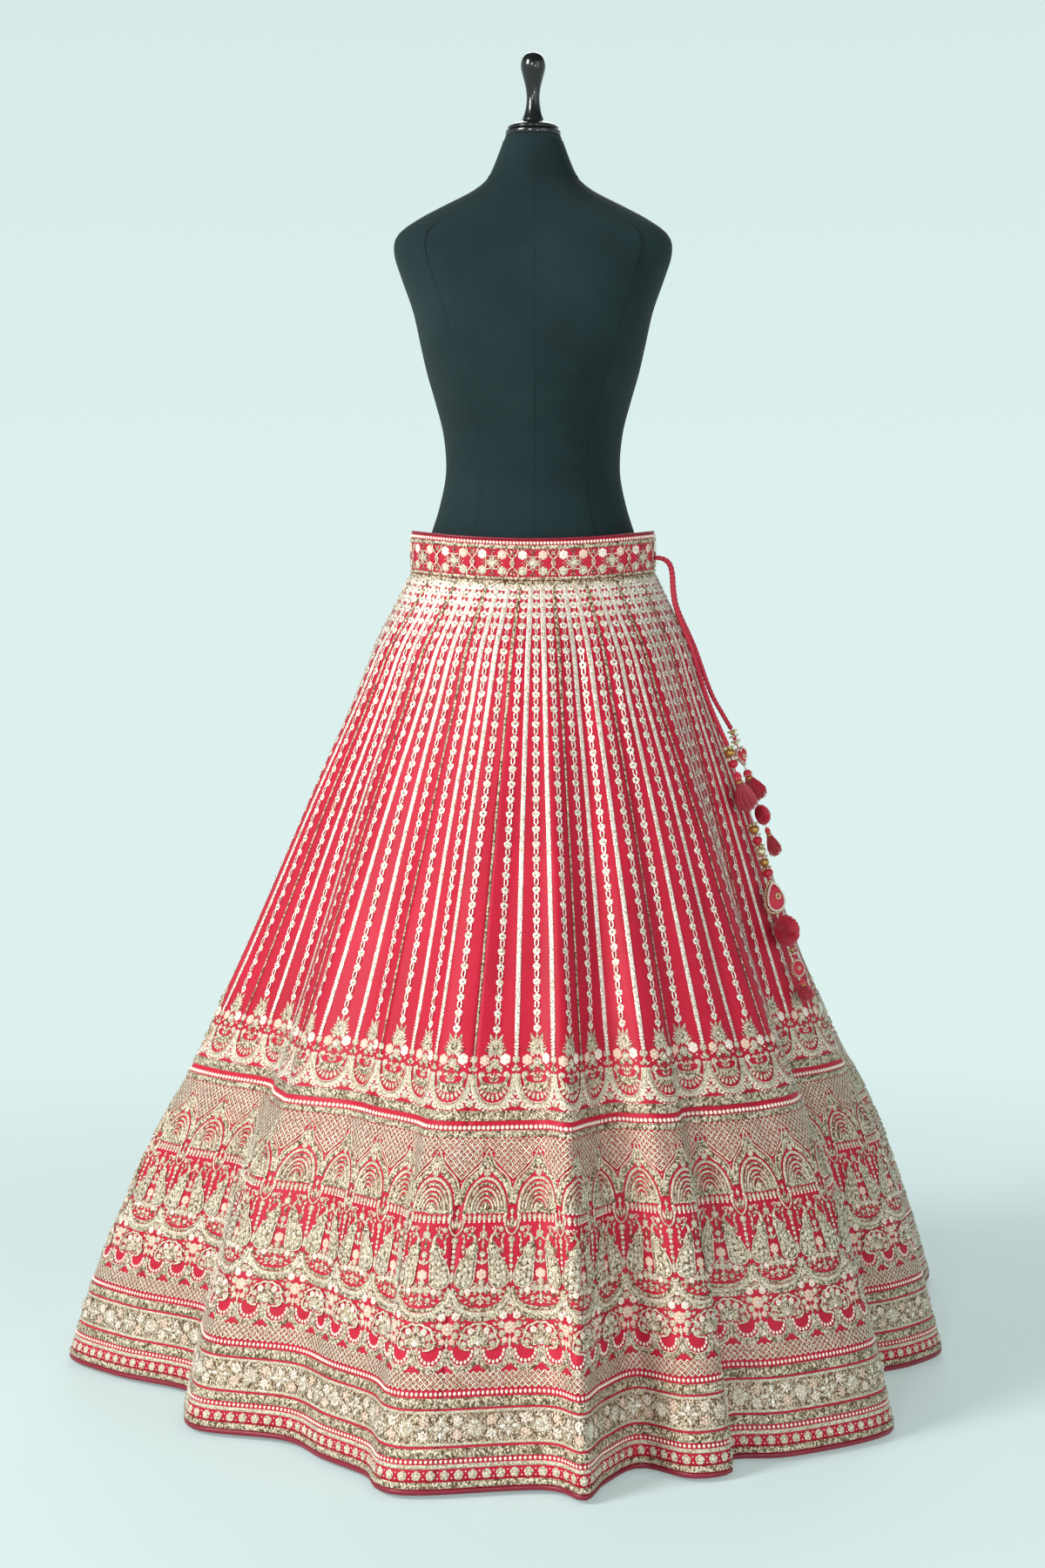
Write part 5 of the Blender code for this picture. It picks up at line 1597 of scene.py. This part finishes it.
STRAND_PIECES = (
    # name, cord, kind, hangs from, top, bottom, tail, half width, how many, all in mm
    ("beads_upper", "dori_upper", "beads", 0.0, 2.0, 22.0, 4.8, 7.0, 3),
    ("pendant_heart", "dori_upper", "heart", 24.0, 24.0, 50.0, 0.0, 14.0, 34),
    ("tassel_upper", "dori_upper", "tassel", 50.0, 53.0, 96.0, 0.0, 21.0, 210),
    ("pompom_upper", "dori_upper", "pompom", 66.0, 99.0, 127.0, 0.0, 14.0, 380),
    ("tassel_tip_upper", "dori_upper", "tassel", 127.0, 129.0, 168.0, 0.0, 13.0, 150),
    ("ball_lower", "dori_lower", "beads", 0.0, 2.0, 30.0, 0.0, 9.0, 2),
    ("tassel_middle", "dori_lower", "tassel", 30.0, 33.0, 86.0, 0.0, 17.0, 190),
    ("beads_lower", "dori_lower", "beads", 49.0, 100.0, 170.0, 1.7, 8.0, 5),
    ("pendant_paisley", "dori_lower", "paisley", 172.0, 172.0, 214.0, 0.0, 19.0, 44),
    ("pompom_lower", "dori_lower", "pompom", 213.2, 216.0, 258.0, 0.0, 21.0, 480),
    ("beads_end", "dori_lower", "beads", 258.0, 259.0, 272.0, 0.7, 6.0, 2),
    ("pendant_round", "dori_lower", "disc", 273.0, 273.0, 297.0, 0.0, 11.0, 26),
    ("tassel_tip_lower", "dori_lower", "tassel", 297.0, 299.0, 328.0, 0.0, 13.0, 130),
)


def ball(middle, radius, finish, sides, rings, tall=1.0):
    """A bead, as a tube whose radius swells and all but closes."""
    tilt = np.linspace(0.04, math.pi - 0.04, rings)
    path = np.array(middle) + np.stack([0 * tilt, 0 * tilt, -radius * tall * np.cos(tilt)], axis=1)
    return tube(path, radius * np.sin(tilt), sides, finish)


def ball_ring(count, reach, height, *ball_size):
    """Small beads in a level ring about the thread."""
    return [ball((reach * math.cos(turn), reach * math.sin(turn), height), *ball_size)
            for turn in np.linspace(0.0, 2 * math.pi, count, endpoint=False)]


def thread(*heights, radius=0.9):
    return tube([(0.0, 0.0, height) for height in heights], (radius,) * len(heights), 6, YARN)


def string_of_beads(lead, length, half_width, count, tail):
    """Round beads in turn with narrow gold washers, on their thread."""
    parts = [thread(-lead, length / 2, length + tail)]
    pitch = length / count
    for number in range(count):
        radius = min(half_width, pitch * 0.50) * (1.0 - 0.14 * (number % 2))
        parts.append(ball((0.0, 0.0, pitch * (number + 0.5)), radius,
                          (GOLD, SATIN, BRIGHT)[number % 3], 14, 9, pitch * 0.40 / radius))
        parts += ball_ring(8, half_width * 0.70, pitch * number + 0.8, half_width * 0.22,
                           CRYSTAL if number % 2 else BRIGHT, 6, 5)
    return parts


def yarn(root, tip, sag, radius):
    """One strand of yarn, three-sided, from its root to its loose end."""
    root, tip = np.array(root), np.array(tip)
    share = np.array([0.0, 0.34, 0.68, 1.0])[:, None]
    path = root * (1 - share) + tip * share
    path[:, :2] *= 1.0 + sag * np.sin(math.pi * share)
    return tube(path, radius * np.array([1.0, 1.1, 0.9, 0.35]), 3, YARN)


def tassel(lead, length, half_width, count):
    """Strands of yarn folded over a cord, bound with gold wire below a round head."""
    head = length * TASSEL_HEAD
    binding = [(0.0, 0.0, head * share) for share in (0.74, 0.80, 0.86, 0.92, 0.98)]
    parts = [thread(-lead, 0.0, 1.2),
             ball((0.0, 0.0, head * 0.44), half_width * 0.36, YARN, 16, 11,
                  head * 0.42 / (half_width * 0.36)),
             tube(binding, half_width * np.array([0.30, 0.37, 0.33, 0.37, 0.30]), 16, GOLD),
             *ball_ring(9, half_width * 0.36, head * 0.52, half_width * 0.055, BRIGHT, 5, 4)]
    for number in range(count):
        turn = GOLDEN_TURN * number
        spread = math.sqrt((number + 0.5) / count)
        wide = half_width * (0.30 + 0.64 * spread) * dice.uniform(0.90, 1.0)
        long = length * (1.0 - 0.10 * spread ** 3) * dice.uniform(0.93, 0.995)
        start = half_width * 0.30 * spread
        parts.append(yarn((start * math.cos(turn), start * math.sin(turn), head * 0.93),
                          (wide * spread ** 0.6 * math.cos(turn + dice.uniform(-0.1, 0.1)),
                           wide * spread ** 0.6 * math.sin(turn + dice.uniform(-0.1, 0.1)), long),
                          0.42, half_width * 0.048))
    return parts


def pompom(lead, length, half_width, count):
    """Yarn bound tight in its middle and trimmed to a ball."""
    middle = np.array([0.0, 0.0, length / 2])
    parts = [thread(-lead, length / 2, length), ball(middle, half_width * 0.62, YARN, 14, 9)]
    for number in range(count):
        tilt = math.acos(1.0 - 2.0 * (number + 0.5) / count)
        turn = GOLDEN_TURN * number
        out = np.array([math.sin(tilt) * math.cos(turn), math.sin(tilt) * math.sin(turn),
                        math.cos(tilt)])
        tip = middle + out * min(half_width, length / 2) * dice.uniform(0.90, 0.995)
        root = middle + out * half_width * 0.40
        parts.append(tube([root, (root + tip) / 2, tip],
                          half_width * np.array([0.050, 0.075, 0.040]), 3, YARN))
    return parts


def pendant_outline(kind, count):
    """Plan of a pendant, one unit half wide, hung from its top."""
    turn = np.linspace(0.0, 2 * math.pi, count, endpoint=False)
    if kind == "heart":
        x = np.sin(turn) ** 3
        z = (13 * np.cos(turn) - 5 * np.cos(2 * turn) - 2 * np.cos(3 * turn)
             - np.cos(4 * turn)) / 15.0
    elif kind == "paisley":
        x = np.sin(turn) * (1.0 - 0.35 * np.cos(turn)) + 0.25 * (1 + np.cos(turn)) ** 2 / 4
        z = np.cos(turn) * 1.05
    else:
        x, z = np.sin(turn), np.cos(turn)
    return x - x[0], z


def pendant(kind, lead, length, half_width, count):
    """A satin pendant padded on both faces, with a beaded edge and a beaded middle."""
    x, z = pendant_outline(kind, count * 2)
    x = x * half_width / np.abs(x).max()
    z = (z.max() - z) * length / (z.max() - z.min())
    centre = (z.min() + z.max()) / 2
    thick = half_width * 0.62
    rings = [np.stack([x * share, np.full(len(x), deep * thick), centre + (z - centre) * share],
                      axis=1) for share, deep in PENDANT_ROWS]
    points = np.concatenate([*rings, [(0.0, thick * 0.5, centre), (0.0, -thick * 0.5, centre)]])
    faces = capped(len(rings), len(x))
    parts = [(points, faces, np.full(len(faces), SATIN)),
             thread(-lead, length / 2, length, radius=0.8)]
    size = half_width * 0.085
    for number in range(0, count * 2, 2):
        for share, deep, finish in ((0.93, 0.0, BRIGHT), (0.80, 0.27, CRYSTAL)):
            parts.append(ball((x[number] * share, deep * thick,
                               centre + (z[number] - centre) * share), size, finish, 6, 5))
    reach = half_width * 0.17
    for turn in np.linspace(0.0, 2 * math.pi, 7, endpoint=False):
        parts.append(ball((reach * math.cos(turn), thick * 0.50, centre + reach * math.sin(turn)),
                          size, BRIGHT, 6, 5))
    return parts


def yarn_finish():
    made, wire = new_finish("crimson silk yarn")
    tint = place_of(wire).noise(420.0, 3.0)
    wire.paint({"Base Color": tint.between(dye(180, 17, 46), dye(232, 36, 70)),
                "Roughness": 0.72, "Sheen Weight": 0.25})
    return made


def bead_metal(name, dark, light, roughness):
    made, wire = new_finish(name)
    tint = place_of(wire).noise(300.0)
    wire.paint({"Base Color": tint.between(dark, light), "Roughness": roughness + tint * 0.15,
                "Metallic": 0.7})
    return made


def cut_crystal():
    made, wire = new_finish("champagne crystal")
    facet = place_of(wire).cells(900.0, "Color")
    wire.paint({"Base Color": facet.between(dye(196, 176, 160), dye(250, 240, 226)),
                "Roughness": 0.05 + facet * 0.2, "Coat Weight": 0.6})
    return made


STRAND_FINISHES = (
    # in the order of YARN, GOLD, BRIGHT, CRYSTAL, SATIN
    yarn_finish(),
    bead_metal("antique gold beads", dye(150, 104, 48), dye(206, 160, 90), 0.25),
    bead_metal("pale gold beads", dye(196, 176, 130), dye(240, 228, 190), 0.2),
    cut_crystal(),
    cord_silk(),
)


def hang(name, cord, kind, hangs_from, top, bottom, tail, half_width, count):
    """One piece of a strand, made in mm down from its top and then set on its line."""
    end, facing = STRAND_ENDS[cord]
    start = np.array(CORD_ROUTES[cord][-1])
    down = (np.array(end) - start) / np.linalg.norm(np.array(end) - start)
    facing = facing - down * down.dot(facing)
    facing /= np.linalg.norm(facing)
    across = np.cross(facing, down)
    lead, length = top - hangs_from - STRAND_GAP, bottom - top - STRAND_GAP
    if kind == "beads":
        parts = string_of_beads(lead, length, half_width, count, tail)
    elif kind == "tassel":
        parts = tassel(lead, length, half_width, count)
    elif kind == "pompom":
        parts = pompom(lead, length, half_width, count)
    else:
        parts = pendant(kind, lead, length, half_width, count)
        turn = math.radians(PENDANT_TURN)
        facing, across = (facing * math.cos(turn) - across * math.sin(turn),
                          across * math.cos(turn) + facing * math.sin(turn))
    points, faces, finishes = together(*parts)
    deep = points[:, 1:2]
    if kind in ("tassel", "pompom"):
        deep = deep * np.where(deep > 0.0, YARN_STANDS_OUT, STRAND_PRESS)
    places = start + (down * (top + points[:, 2:]) + across * points[:, :1]
                      + facing * deep) / 1000
    piece = add_piece(f"{name}_worked", places, faces, STRAND_FINISHES,
                      finishes)
    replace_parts(piece, name)
    return piece


ON_CORD_REACH = 118.0       # the list below picks out the pieces on each cord that end higher up than this
hung = [(entry[1], entry[5], hang(*entry)) for entry in STRAND_PIECES]
for cord_name, (line, length, cord_piece) in CORDS.items():
    [piece for on, bottom, piece in hung
                         if on == cord_name and bottom < ON_CORD_REACH]


# ---- dress form ----
# A limbless dress form: a moulded body padded with foam under a taut dark teal jersey. The
# panels of its cover meet in fine ridges, and a gloss cap with a turned finial closes it.
FORM_RINGS = 110
FORM_COLUMNS = 80
UPRIGHT_SEAMS = (0.80, 1.506)       # heights between which they show, with the points on each
UPRIGHT_SEAM_POINTS = 120
LEVEL_SEAMS = (1.107, 1.462)
LEVEL_SEAM_POINTS = 97
PRINCESS_SEAM = (0.100, 0.035)      # round from the middle at the waist, and more at the bust
WAIST_TO_BUST = (1.11, 0.24)        # height of the waist, and the rise from it to the bust
WELT_ROWS = (
    # across the seam: offset to one side, height over the cover
    (-0.0022, -0.0004), (-0.0009, 0.0007), (0.0, 0.0001), (0.0009, 0.0007), (0.0022, -0.0004),
)


def body_sections():
    """The CAD body's own sections from bottom to top, each from the front middle round."""
    body = nodes["form_body"]
    corners = {tuple(round(c, 4) for c in body.matrix_world @ v.co) for v in body.data.vertices}
    by_height = {}
    for x, y, z in corners:
        by_height.setdefault(z, []).append((math.atan2(x, -y) % (2 * math.pi - 0.001), x, y, z))
    return np.array([[point[1:] for point in sorted(by_height[z])] for z in sorted(by_height)])


def round_off(rings, count):
    """The same rings with more points, on a smooth closed curve through the old ones."""
    steps = count // rings.shape[1]
    return np.array([through(ring, steps, closed=True) for ring in rings])


def stacked(rings, count):
    """More rings, on smooth curves up through the old ones."""
    flat = rings.reshape(len(rings), -1)
    fine = through(flat, 12)
    height = fine.reshape(len(fine), -1, 3)[:, 0, 2]
    wanted = np.linspace(height[0], height[-1], count)
    columns = [np.interp(wanted, height, fine[:, i]) for i in range(fine.shape[1])]
    return np.stack(columns, axis=1).reshape(count, -1, 3)


def jersey():
    """A fine knit in dark teal: courses that run round, wales that run up, a dull nap."""
    made, wire = new_finish("dark teal jersey")
    spot = place_of(wire)
    knit = spot.stretched(1300.0, 1300.0, 700.0).noise(1.0)
    wear = spot.noise(9.0, 3.0)
    worn = (wear * 0.6 + knit * 0.4).ramp((0.3, 0.0), (0.7, 1.0))
    wire.paint({"Base Color": worn.between(dye(20, 33, 35), dye(33, 49, 51)),
                "Roughness": 0.80 + knit * 0.15, "Normal": bump(wire, knit, 0.0004),
                "Sheen Weight": 0.04, "Specular IOR Level": 0.12})
    return made


def ring_point(rings, around, height):
    """A point of the form's cover, at a share of the way round and a height."""
    heights = rings[:, 0, 2]
    place = np.atleast_1d(around) % 1.0 * FORM_COLUMNS
    low = np.floor(place).astype(int) % FORM_COLUMNS
    share = (place - np.floor(place))[:, None, None]
    level_at = np.interp(height, heights, np.arange(len(heights)))
    below = np.clip(np.floor(level_at).astype(int), 0, len(heights) - 2)
    rise = (level_at - below)[:, None]
    lines = []
    for row_at in (below, below + 1):
        first, second = rings[row_at, low], rings[row_at, (low + 1) % FORM_COLUMNS]
        lines.append(first * (1 - share[:, 0]) + second * share[:, 0])
    return lines[0] * (1 - rise) + lines[1] * rise


def welt(rings, around, height):
    """A seam of the cover: a low ridge of four faces across, along a line on the form."""
    line = ring_point(rings, around, height)
    middle = rings.mean(axis=1)
    centres = np.stack([np.interp(height, middle[:, 2], middle[:, axis]) for axis in range(3)],
                       axis=1)
    out = line - centres
    out /= np.linalg.norm(out, axis=1, keepdims=True)
    along = np.gradient(line, axis=0)
    across = np.cross(along, out)
    across /= np.linalg.norm(across, axis=1, keepdims=True)
    rows = [line + across * side + out * rise for side, rise in WELT_ROWS]
    a, b, c, d = grid_cells(len(rows), len(line))
    faces = halved(a, d, c, b)
    return np.concatenate(rows), faces, np.zeros(len(faces), int)


def make_form(finish):
    rings = stacked(round_off(body_sections(), FORM_COLUMNS), FORM_RINGS)
    points = np.concatenate([rings.reshape(-1, 3), rings[[0, -1]].mean(axis=1)])
    form = add_piece("form_padding", points, capped(FORM_RINGS, FORM_COLUMNS), (finish,))
    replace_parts(form, "form_body")
    up = np.linspace(*UPRIGHT_SEAMS, UPRIGHT_SEAM_POINTS)
    start, more = PRINCESS_SEAM
    waist, rise = WAIST_TO_BUST
    princess = start + more * np.clip((up - waist) / rise, 0.0, 1.0)
    seams = [welt(rings, share + 0.0 * up, up) for share in (
        0.0, 0.25, 0.5, 0.75, princess, 1.0 - princess, 0.5 - princess, 0.5 + princess)]
    turn = np.linspace(0.0, 1.0, LEVEL_SEAM_POINTS)
    seams += [welt(rings, turn, height + 0.0 * turn) for height in LEVEL_SEAMS]
    points, faces, _ = together(*seams)
    add_piece("form_seams", points, faces, (finish,))


make_form(jersey())


# ---- neck cap, finial and stand ----
# The cap and finial are turned wood under black lacquer. Inside the skirt a plastic collar
# clamps the body to a steel pole, which stands in a heavy round base.
FINIAL_PROFILE = (
    # radius, height
    (0.0290, 1.5190), (0.0308, 1.5205), (0.0308, 1.5230), (0.0270, 1.5255), (0.0150, 1.5290),
    (0.0130, 1.5325), (0.0100, 1.5415), (0.0082, 1.5520), (0.0080, 1.5610), (0.0095, 1.5720),
    (0.0128, 1.5845), (0.0150, 1.5945), (0.0140, 1.6035), (0.0098, 1.6095), (0.0040, 1.6125),
)
TURNED_SIDES = 64
CAP_PROFILE = ((0.0325, 1.5123), (0.0335, 1.5135), (0.0335, 1.5175), (0.0325, 1.5187))


def hard_finish(name, dark, light, roughness, metallic=0.0, grain=26.0):
    """Lacquer, plastic, metal or powder coat, faintly mottled and pitted at its grain."""
    made, wire = new_finish(name)
    spot = place_of(wire)
    mist = spot.noise(grain, 3.0)
    wire.paint({"Base Color": mist.between(dark, light), "Roughness": roughness + mist * 0.14,
                "Normal": bump(wire, spot.noise(grain * 12.0), 0.0001), "Metallic": metallic})
    return made


def turned(name, node, profile, steps, finish):
    """A turned piece: a smooth profile spun round the middle line."""
    line = through(profile, steps)
    path = np.stack([0 * line[:, 0], 0 * line[:, 0], line[:, 1]], axis=1)
    points, faces, _ = tube(path, line[:, 0], TURNED_SIDES)
    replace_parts(add_piece(name, points, faces, (finish,)), node)


BLACK = hard_finish("black lacquer", dye(16, 17, 18), dye(27, 28, 30), 0.10)
turned("finial_turned", "finial", FINIAL_PROFILE, 4, BLACK)
turned("neck_cap_turned", "neck_cap", CAP_PROFILE, 3, BLACK)
for node_name, finish in (
        ("form_collar", hard_finish("black plastic", dye(22, 23, 24), dye(34, 35, 37), 0.35)),
        ("stand_pole", hard_finish("brushed steel", dye(150, 152, 156), dye(186, 188, 192),
                                   0.26, 1.0, 160.0)),
        ("stand_base", hard_finish("black powder coat", dye(24, 25, 26), dye(38, 39, 41),
                                   0.42, 0.0, 240.0))):
    nodes[node_name].data.materials.clear()
    nodes[node_name].data.materials.append(finish)
